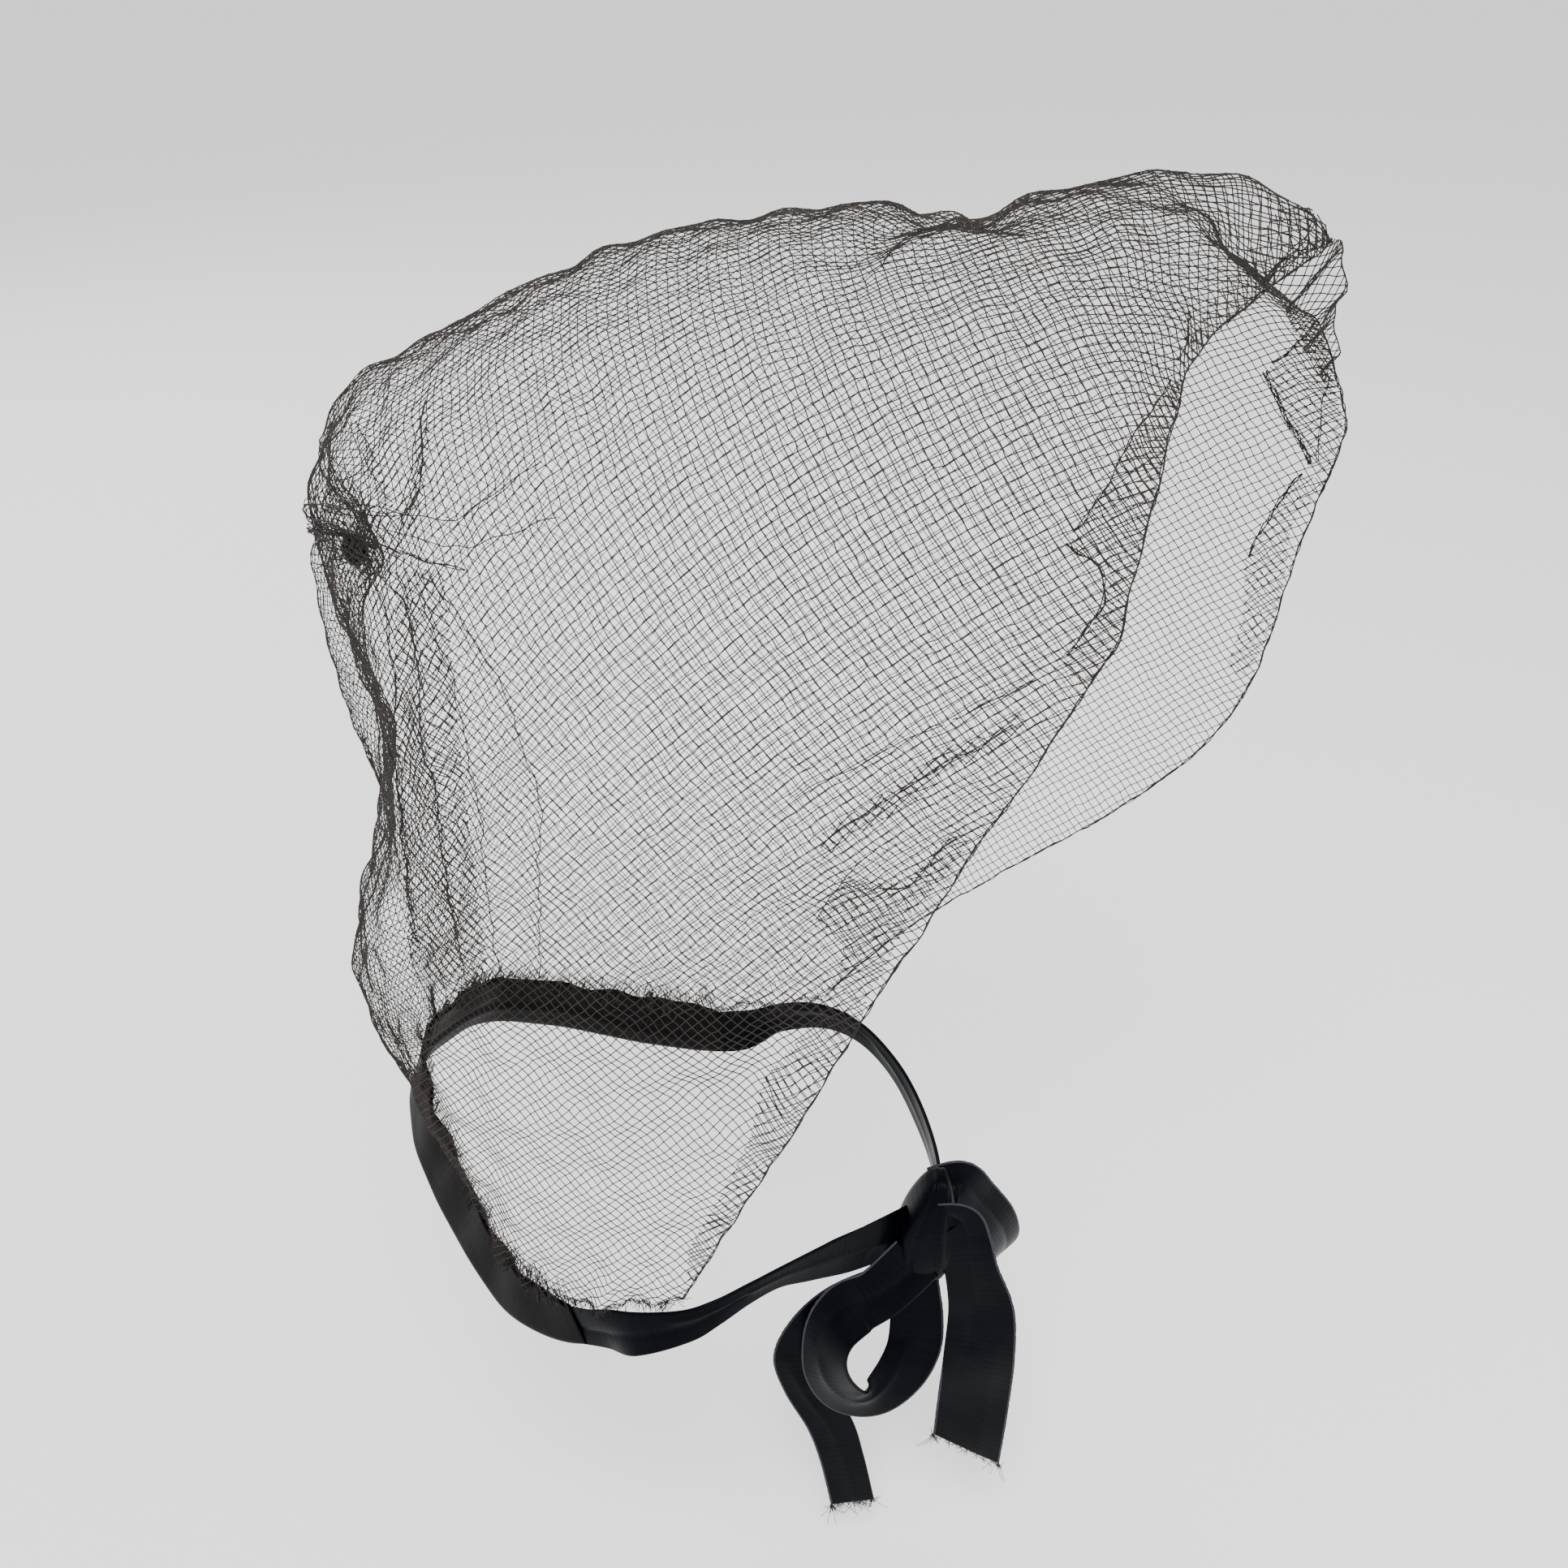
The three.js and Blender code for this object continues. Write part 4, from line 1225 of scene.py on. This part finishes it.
def tie_lines(rows, place):
    """Middle, direction, unit width and width in millimetres of a tie, at each place along it."""
    x, y, z, wide, lean = np.moveaxis(row_at(np.array(rows, float), place), -1, 0)
    middle = np.stack([x, y, z], -1)
    run = unit(np.gradient(middle, axis=0))
    upright = unit(WORLD_UP - run * (run @ WORLD_UP)[:, None])
    return middle, run, turned(upright, run, lean), wide


def bow_point(along, up, out):
    return (BOW_AT + np.multiply.outer(along, BOW_ALONG) + np.multiply.outer(up, WORLD_UP)
            + np.multiply.outer(out, BOW_OUT))


def bow_lines(rows, place):
    """The same for a ribbon of the bow."""
    along, up, out, wide, tilt = np.moveaxis(row_at(np.array(rows, float), place), -1, 0)
    middle = bow_point(along, up, out)
    run = unit(np.gradient(middle, axis=0))
    flat = unit(np.cross(np.broadcast_to(BOW_OUT, run.shape), run))
    proud = unit(np.cross(run, flat))
    angle = np.radians(tilt)[:, None]
    return middle, run, flat * np.cos(angle) + proud * np.sin(angle), wide


def casing_section(round_place):
    """The casing's top point, the way along it and the way down, from the right end (-1) to the left."""
    def hem_at(places):
        back = 1 - (1 - JOIN_BACK) * np.abs(places)
        hem = hood_form(back, np.where(places < 0, -1.0, 1.0))
        hem[places == 0, 0] = 0
        return hem

    top = hem_at(round_place)
    before = hem_at(np.maximum(-1, round_place - CASING_STEP))
    along = unit(hem_at(np.minimum(1, round_place + CASING_STEP)) - before)
    lean = CASING_LEAN_BACK + (CASING_LEAN_SIDE - CASING_LEAN_BACK) * round_place**2
    inward = np.array([0, CASING_CENTRE, 0]) - top * [1, 1, 0]
    down = unit(inward) * lean[:, None] - WORLD_UP
    down = unit(down - along * (down * along).sum(-1, keepdims=True))
    return top + down * NET_WALL, along, down


def tie_rows(rows, side):
    """A tie's rows, with two in line with the casing's end in front of them."""
    top, along, down = (values[0] for values in casing_section(np.array([float(side)])))
    start = top + down * CASING_TALL / 2
    lean = -math.degrees(math.asin(-down[0] * side)) * side
    first = [[*(start + along * side * away), CASING_TALL, lean] for away in (TIE_START, TIE_STRAIGHT)]
    return first + rows


print("bow ribbon", BOW_RIBBON, "mm, tie", TIE_RIBBON, "mm")

# %% [markdown]
# A cross-section of the ribbon is worked out from how wide it shows: a face, and behind each edge the
# flap that takes up what is left of its width. The bends between them are eased, so that the folded
# edges catch the light as a line. The whole ribbon sways a little, as satin does that has been tied.

# %% Ribbon cloth
RIBBON_THICK = 0.35
FOLD_GAP = 0.95
FOLD_ROUND = 0.35
SECTION_STEPS = (7, 6, 22, 6, 7)
BEND_MOST, BEND_SHARE = 0.7, 0.45
FLAP_SHOWS, FLAP_LIES = 1.5, 2
SWAYS, SWAY_SUM = 5, 2.5
CREASE_END = 0.06


def cloth_mesh(name, bm, points, cloth, material):
    """A mesh from a bmesh, with its points in millimetres and its cloth place as UV, in metres."""
    mesh = bpy.data.meshes.new(name)
    bm.to_mesh(mesh)
    bm.free()
    mesh.vertices.foreach_set("co", (points.reshape(-1, 3) * MM).astype(np.float32).ravel())
    corners = np.empty(len(mesh.loops), np.int32)
    mesh.loops.foreach_get("vertex_index", corners)
    layer = mesh.uv_layers.new(name="cloth")
    layer.uv.foreach_set("vector", (cloth.reshape(-1, 2)[corners] * MM).astype(np.float32).ravel())
    mesh.shade_smooth()
    mesh.update()
    mesh.materials.append(material)
    return mesh


def cloth_piece(name, node, points, cloth, material, thickness):
    """A sheet from a grid of points in millimetres, with its cloth place, in millimetres too."""
    rows, columns = points.shape[:2]
    bm = bmesh.new()
    bmesh.ops.create_grid(bm, x_segments=columns - 1, y_segments=rows - 1, size=1)
    piece = put(name, cloth_mesh(name, bm, points, cloth, material))
    wall = piece.modifiers.new("thickness", "SOLIDIFY")
    wall.thickness = thickness * MM
    wall.offset = 0
    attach(piece, "root")
    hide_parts(node)
    print(name, rows, "by", columns)
    return piece


def folded_section(wide, ribbon, share):
    """A flat ribbon's cross-section with its spare width behind its edges: cloth, over and depth."""
    spare = np.maximum(ribbon - wide, 0)
    first = spare * share
    last = first + wide
    flaps = (first, spare - first)
    reach = [np.minimum(BEND_MOST, BEND_SHARE * flap + 0.02) for flap in flaps]
    stops = [0 * first, first - reach[0], first + reach[0], last - reach[1], last + reach[1],
             wide + spare]
    cloth = [stops[0][:, None]]
    for count, low, high in zip(SECTION_STEPS, stops[:-1], stops[1:]):
        cloth.append(low[:, None] + (high - low)[:, None] * np.linspace(0, 1, count + 1)[None, 1:])
    cloth = np.concatenate(cloth, axis=1)
    curve = [FOLD_ROUND * smooth_step(flap / FLAP_SHOWS)[:, None] + 0.001 for flap in flaps]
    half, before, after = wide[:, None] / 2, cloth - first[:, None], cloth - last[:, None]
    over = np.where(cloth < (first + last)[:, None] / 2,
                    -half - curve[0] + np.sqrt(before**2 + curve[0]**2),
                    half + curve[1] - np.sqrt(after**2 + curve[1]**2))
    behind = sum(
        smooth_step(0.5 + past / (2 * bend[:, None])) * smooth_step(flap / FLAP_LIES)[:, None]
        for past, bend, flap in ((-before, reach[0], flaps[0]), (after, reach[1], flaps[1])))
    return cloth - (wide + spare)[:, None] / 2, over, -FOLD_GAP * behind


def ribbon_piece(node, lines, ribbon, share, seed, slant=0.0, creases=(), soft=0.3):
    """A ribbon along its lines: middle, direction, unit width and width at each place. Its grid."""
    middle, run, width_way, wide = lines
    random = np.random.default_rng(seed)
    place = np.linspace(0, 1, len(middle))[:, None]
    length = lengths_along(middle)[:, None]
    proud = unit(np.cross(run, width_way))
    cloth, over, depth = folded_section(wide, ribbon, share)
    part = over / (wide[:, None] / 2)
    sway = sum(
        random.uniform(0.4, 1) * np.sin(length / random.uniform(6, 16) + part * random.uniform(-1.6, 1.6)
                                        + random.uniform(0, 6))
        for _ in range(SWAYS)) / SWAY_SUM
    out = depth + soft * sway
    for start, stop, from_part, to_part, deep, broad in creases:
        run_of = np.clip((place - start) / (stop - start), 0, 1)
        line = from_part + (to_part - from_part) * run_of
        ends = (smooth_step((place - start) / CREASE_END + 0.5)
                * smooth_step((stop - place) / CREASE_END + 0.5))
        out = out + deep * ends * np.exp(-np.abs(part - line) / broad)
    shift = run[:, None] * (slant / 2 * bell((1 - place) / SLANT_SHARE) * part)[..., None]
    points = middle[:, None] + width_way[:, None] * over[..., None] + shift + proud[:, None] * out[..., None]
    cloth = np.stack([np.broadcast_to(length, out.shape), cloth], -1)
    piece = cloth_piece(f"{node}_ribbon", node, points, cloth, SATIN, RIBBON_THICK)
    print("   ", round(float(length[-1, 0])), "mm long")
    return points


print("columns of a ribbon", sum(SECTION_STEPS) + 1)

# %% [markdown]
# The casing is the ribbon folded double over the net's lower edge. Its outer face swells between its
# edges and is puckered by the gathers, and a seam with a raised lip runs along it about halfway down. Its
# upper edge is drawn into small waves. All of this fades at its two ends, where the ties go on from it.

# %% Casing
CASING_PLACES, CASING_COLUMNS = 361, 41
HALF_THICK = 0.55
PUCKERS = 9
PUCKER_LONG, PUCKER_DEEP = (2.2, 5.5), (0.12, 0.3)
SEAM_DOWN, SEAM_DEEP, SEAM_WIDE = 7.5, 0.8, 1.1
LIP_BELOW, LIP_HIGH, LIP_WIDE = 2.4, 0.5, 1.8
SWELL = 0.7
rounds = np.linspace(-1, 1, CASING_PLACES)
top, along, down = casing_section(rounds)
outward = unit(np.cross(down, along))
hem_length = lengths_along(top)[:, None]
turn = np.linspace(0, 1, CASING_COLUMNS)[None, :]
inner_part = (1 - np.abs(rounds)**16)[:, None]
cover = HEM_COVER * inner_part
fall = (CASING_TALL + cover) * (1 - np.abs(2 * turn - 1)**1.04) - cover
stand = HALF_THICK * np.tanh((turn - 0.5) * 40)
random = np.random.default_rng(41)
face = np.clip((turn - 0.5) * 12, 0, 1)
pucker = np.zeros((CASING_PLACES, CASING_COLUMNS))
for _ in range(PUCKERS):
    length = random.uniform(*PUCKER_LONG)
    pucker += random.uniform(*PUCKER_DEEP) * np.sin(
        hem_length / length + random.uniform(0, 6) + (1 - fall / CASING_TALL) * random.uniform(-1.5, 1.5))
pucker *= 0.25 + 0.6 * (1 - fall / CASING_TALL)
past_seam = fall - (SEAM_DOWN + 2.2 * np.sin(hem_length / 37) + 0.9 * np.sin(hem_length / 11))
crease = -SEAM_DEEP * bell(past_seam / SEAM_WIDE) + LIP_HIGH * bell((past_seam - LIP_BELOW) / LIP_WIDE)
swell = SWELL * np.sin(np.pi * np.clip(fall / CASING_TALL, 0, 1))
edge_wave = 0.5 * np.sin(hem_length / 4.3) + 0.4 * np.sin(hem_length / 2.6 + 1)
rise = edge_wave * inner_part * bell((fall + HEM_COVER) / 3)
points = (top[:, None] + down[:, None] * (fall + rise)[..., None]
          + outward[:, None] * (stand + inner_part * (pucker + face * (crease + swell)))[..., None])
cloth = np.stack([np.broadcast_to(hem_length, pucker.shape),
                  np.broadcast_to(turn * 2 * CASING_TALL, pucker.shape)], -1)
casing = cloth_piece("nape_casing", "nape_band", points, cloth, CASING_SATIN, 0.3)
print("casing", round(float(hem_length[-1, 0])), "mm long")

# %% [markdown]
# Inside the casing the net's hem is gathered up small, and its loops stand out above the casing as dark
# fuzz: short curled threads that start under the casing's edge and lie on both faces of the net. In front
# of the casing the net's lower edge is sewn along the tie, with a bundle of threads and smaller fuzz.

# %% Gathered hem
HEM_THREADS, SEWN_THREADS = 520, 90
TUCK = 1.5
SEWN_TO = JOIN_BACK + 0.02
random = np.random.default_rng(45)
lines = []
for start in random.uniform(-1, 1, HEM_THREADS):
    top_at, along_at, down_at = (values[0] for values in casing_section(np.array([start])))
    face = unit(np.cross(down_at, along_at)) * random.choice([-1, 1])
    tall, wide = random.uniform(1, 3) * random.uniform(1, 3.2), random.uniform(-6, 6)
    turn_at = np.linspace(0, 1, 7)[:, None]
    rise = TUCK - (HEM_COVER + tall + TUCK) * np.sin(np.pi * turn_at * 0.8)
    stand = 0.5 + random.uniform(0.2, 0.9) * np.sin(np.pi * turn_at)
    lines.append(top_at + down_at * rise + along_at * wide * turn_at + face * stand)
for side in (-1, 1):
    for back in random.uniform(0.004, SEWN_TO, SEWN_THREADS):
        start, ahead = hood_point(np.array([back, back + 0.01]), np.array([side, side], float))
        run, wide = unit(ahead - start), random.uniform(-5, 5)
        tall = random.uniform(2.5, 5.5)
        turn_at = np.linspace(0, 1, 6)[:, None]
        lines.append(start + run * wide * turn_at + WORLD_UP * (TUCK - tall * turn_at)
                     + np.array([side, 0, 0]) * random.uniform(-0.8, 0.8) * np.sin(np.pi * turn_at))
    edge_places = np.stack([np.linspace(0.003, SEWN_TO, 80), np.full(80, side * 0.999)], 1)
    lines += bundle(edge_places, 4, 0.7, 0, random)
lines_piece("gathered_hem", "net_hood", lines, 0.11)

# %% [markdown]
# The ties go on from the casing's ends to the bow. Each crease is a shallow groove or ridge that starts
# and stops part of the way along and wanders across the face.

# %% Ties
RIBBON_STEPS = 160
places = np.linspace(0, 1, RIBBON_STEPS)
# from, to along the ribbon, from, to across it, how deep and how broad
TIE_CREASES = [(0.0, 0.55, -0.3, 0.2, -0.5, 0.2), (0.3, 1.0, 0.5, -0.2, 0.5, 0.25)]
for node, rows, side, seed in (("tie_right", TIE_RIGHT, -1, 51), ("tie_left", TIE_LEFT, 1, 52)):
    ribbon_piece(node, tie_lines(tie_rows(rows, side), places), TIE_RIBBON, 0.5, seed,
                 creases=TIE_CREASES, soft=0.35)

# %% [markdown]
# The bow is the same ribbon in four lengths: two loops, each out and back, and two free ends. The loops
# and the right end are folded narrower than they are woven, and the left end widens to its full width.

# %% Bow
# share of the spare width behind the first edge, seed, slant of the end, and creases
BOW_PIECES = [
    ("loop_right", LOOP_RIGHT, 0.0, 61, 0,
     [(0.0, 0.3, 0.3, -0.4, -0.7, 0.16), (0.35, 0.75, -0.2, 0.4, 0.6, 0.2), (0.8, 1.0, 0.1, 0.0, -0.6, 0.2)]),
    ("loop_left", LOOP_LEFT, 1.0, 62, 0,
     [(0.0, 0.5, -0.1, 0.3, -0.6, 0.2), (0.6, 1.0, 0.2, 0.0, -0.5, 0.2)]),
    ("tail_right", TAIL_RIGHT, 0.0, 63, 0,
     [(0.0, 0.6, 0.0, 0.3, -0.6, 0.2), (0.5, 1.0, -0.3, 0.2, 0.4, 0.25)]),
    ("tail_left", TAIL_LEFT, 1.0, 64, TAIL_SLANT,
     [(0.0, 0.7, 0.2, -0.3, -0.7, 0.14), (0.3, 1.0, 0.5, 0.3, 0.4, 0.25)]),
]
bow_grids = {
    node: ribbon_piece(node, bow_lines(rows, places), BOW_RIBBON, share, seed, slant, creases)
    for node, rows, share, seed, slant, creases in BOW_PIECES}

# %% [markdown]
# The two free ends are cut, not hemmed, so the lengthwise threads have worked loose there. They are
# short fine threads that leave the last row of the ribbon's grid.

# %% Frayed ends
FRAY_THREADS = 150
for node, seed in (("tail_right", 71), ("tail_left", 72)):
    random = np.random.default_rng(seed)
    grid = bow_grids[node]
    end, away, edge = grid[-1], unit(grid[-1] - grid[-4]), unit(np.gradient(grid[-1], axis=0))
    lines = []
    for _ in range(FRAY_THREADS):
        at = random.uniform(0, len(end) - 1.001)
        low = int(at)
        start = end[low] + (end[low + 1] - end[low]) * (at - low)
        step = np.linspace(-0.8, random.choice([1.5, 2.6, 4.2], p=[0.45, 0.35, 0.2]), 5)[:, None]
        free = np.maximum(step, 0)
        lines.append(start + away[low] * step + edge[low] * free * random.normal(0, 0.35)
                     + random.normal(0, 0.12, 3) * free**2)
    lines_piece(f"{node}_fray", node, lines, 0.1)

# %% [markdown]
# The bow's knot is ribbon wound tightly over itself. It is a squared ball, pinched above and below, with
# the windings' edges as grooves that lean across it. Its top is drawn up and over to one side.

# %% Bow knot
# place along the knot, lean, width and depth of each groove
KNOT_GROOVES = [(-4.6, 0.5, 0.9, 0.6), (1.8, -0.4, 1.2, 0.7), (5.8, -0.2, 0.8, 0.4)]
bm = bmesh.new()
bmesh.ops.create_uvsphere(bm, u_segments=96, v_segments=64, radius=1)
ball = np.array([vert.co for vert in bm.verts])
square = np.sign(ball) * np.abs(ball)**KNOT["square"]
along_knot = square[:, 0] * KNOT["half_along"]
up_knot = square[:, 2] * KNOT["half_up"]
out_knot = square[:, 1] * KNOT["half_out"]
height = square[:, 2]
pinch = 1 - 0.16 * height**2
grooves = sum(
    deep * bell((along_knot - at - lean * height * 4) / wide) * np.clip(1 - 0.4 * height**2, 0, 1)
    for at, lean, wide, deep in KNOT_GROOVES)
top_part = np.clip(height, 0, 1)**2
along_knot = along_knot * (1 - 0.35 * top_part) + 4.5 * top_part
up_knot = up_knot + 6 * top_part
out_knot = out_knot * (1 - 0.1 * height**2) - np.sign(out_knot) * grooves
points = bow_point(KNOT["along"] + along_knot * pinch, KNOT["up"] + up_knot, KNOT["out"] + out_knot)
mesh = cloth_mesh("bow_knot_wrap", bm, points, np.stack([up_knot, along_knot], -1), SATIN)
knot_wrap = put("bow_knot_wrap", mesh)
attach(knot_wrap, "root")
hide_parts("bow_knot")
print("knot", len(mesh.polygons), "faces")

# %% [markdown]
# The stage is a pale, even floor just below the tails' ends. A large soft light stands where a window
# would be, high on the right, a weaker one fills the other side, and a third behind gives the satin
# its edges. The world is a plain pale grey, so that the dark net reads from every side.

# %% Stage and light
FLOOR_AT = -0.4505
bm = bmesh.new()
bmesh.ops.create_grid(bm, x_segments=1, y_segments=1, size=12)
bmesh.ops.translate(bm, verts=bm.verts, vec=(0, 0, FLOOR_AT))
floor_mesh = bpy.data.meshes.new("floor")
bm.to_mesh(floor_mesh)
bm.free()
floor = put("floor", floor_mesh)
floor_material = bpy.data.materials.new("pale floor")
floor_material.use_nodes = True
floor_shader = floor_material.node_tree.nodes["Principled BSDF"]
floor_shader.inputs["Base Color"].default_value = (0.9, 0.89, 0.87, 1)
floor_shader.inputs["Roughness"].default_value = 0.9
floor_mesh.materials.append(floor_material)

world = bpy.data.worlds.new("studio")
bpy.context.scene.world = world
world.use_nodes = True
world.node_tree.nodes["Background"].inputs["Color"].default_value = (0.93, 0.94, 0.96, 1)
world.node_tree.nodes["Background"].inputs["Strength"].default_value = 1.4


def add_light(name, at, size, power, colour):
    light = bpy.data.lights.new(name, "AREA")
    light.size = size
    light.energy = power
    light.color = colour
    lamp = put(name, light)
    lamp.location = at
    aim = Vector((0, 0, -0.2)) - Vector(at)
    lamp.rotation_mode = "QUATERNION"
    lamp.rotation_quaternion = aim.to_track_quat("-Z", "Y")


add_light("window", (-0.9, -0.2, 1.1), 0.6, 26, (0.94, 0.97, 1.0))
add_light("fill", (-0.3, -1.6, 0.5), 1.2, 14, (1.0, 0.97, 0.93))
add_light("rim", (1.0, 1.2, 0.8), 0.8, 14, (0.95, 0.97, 1.0))
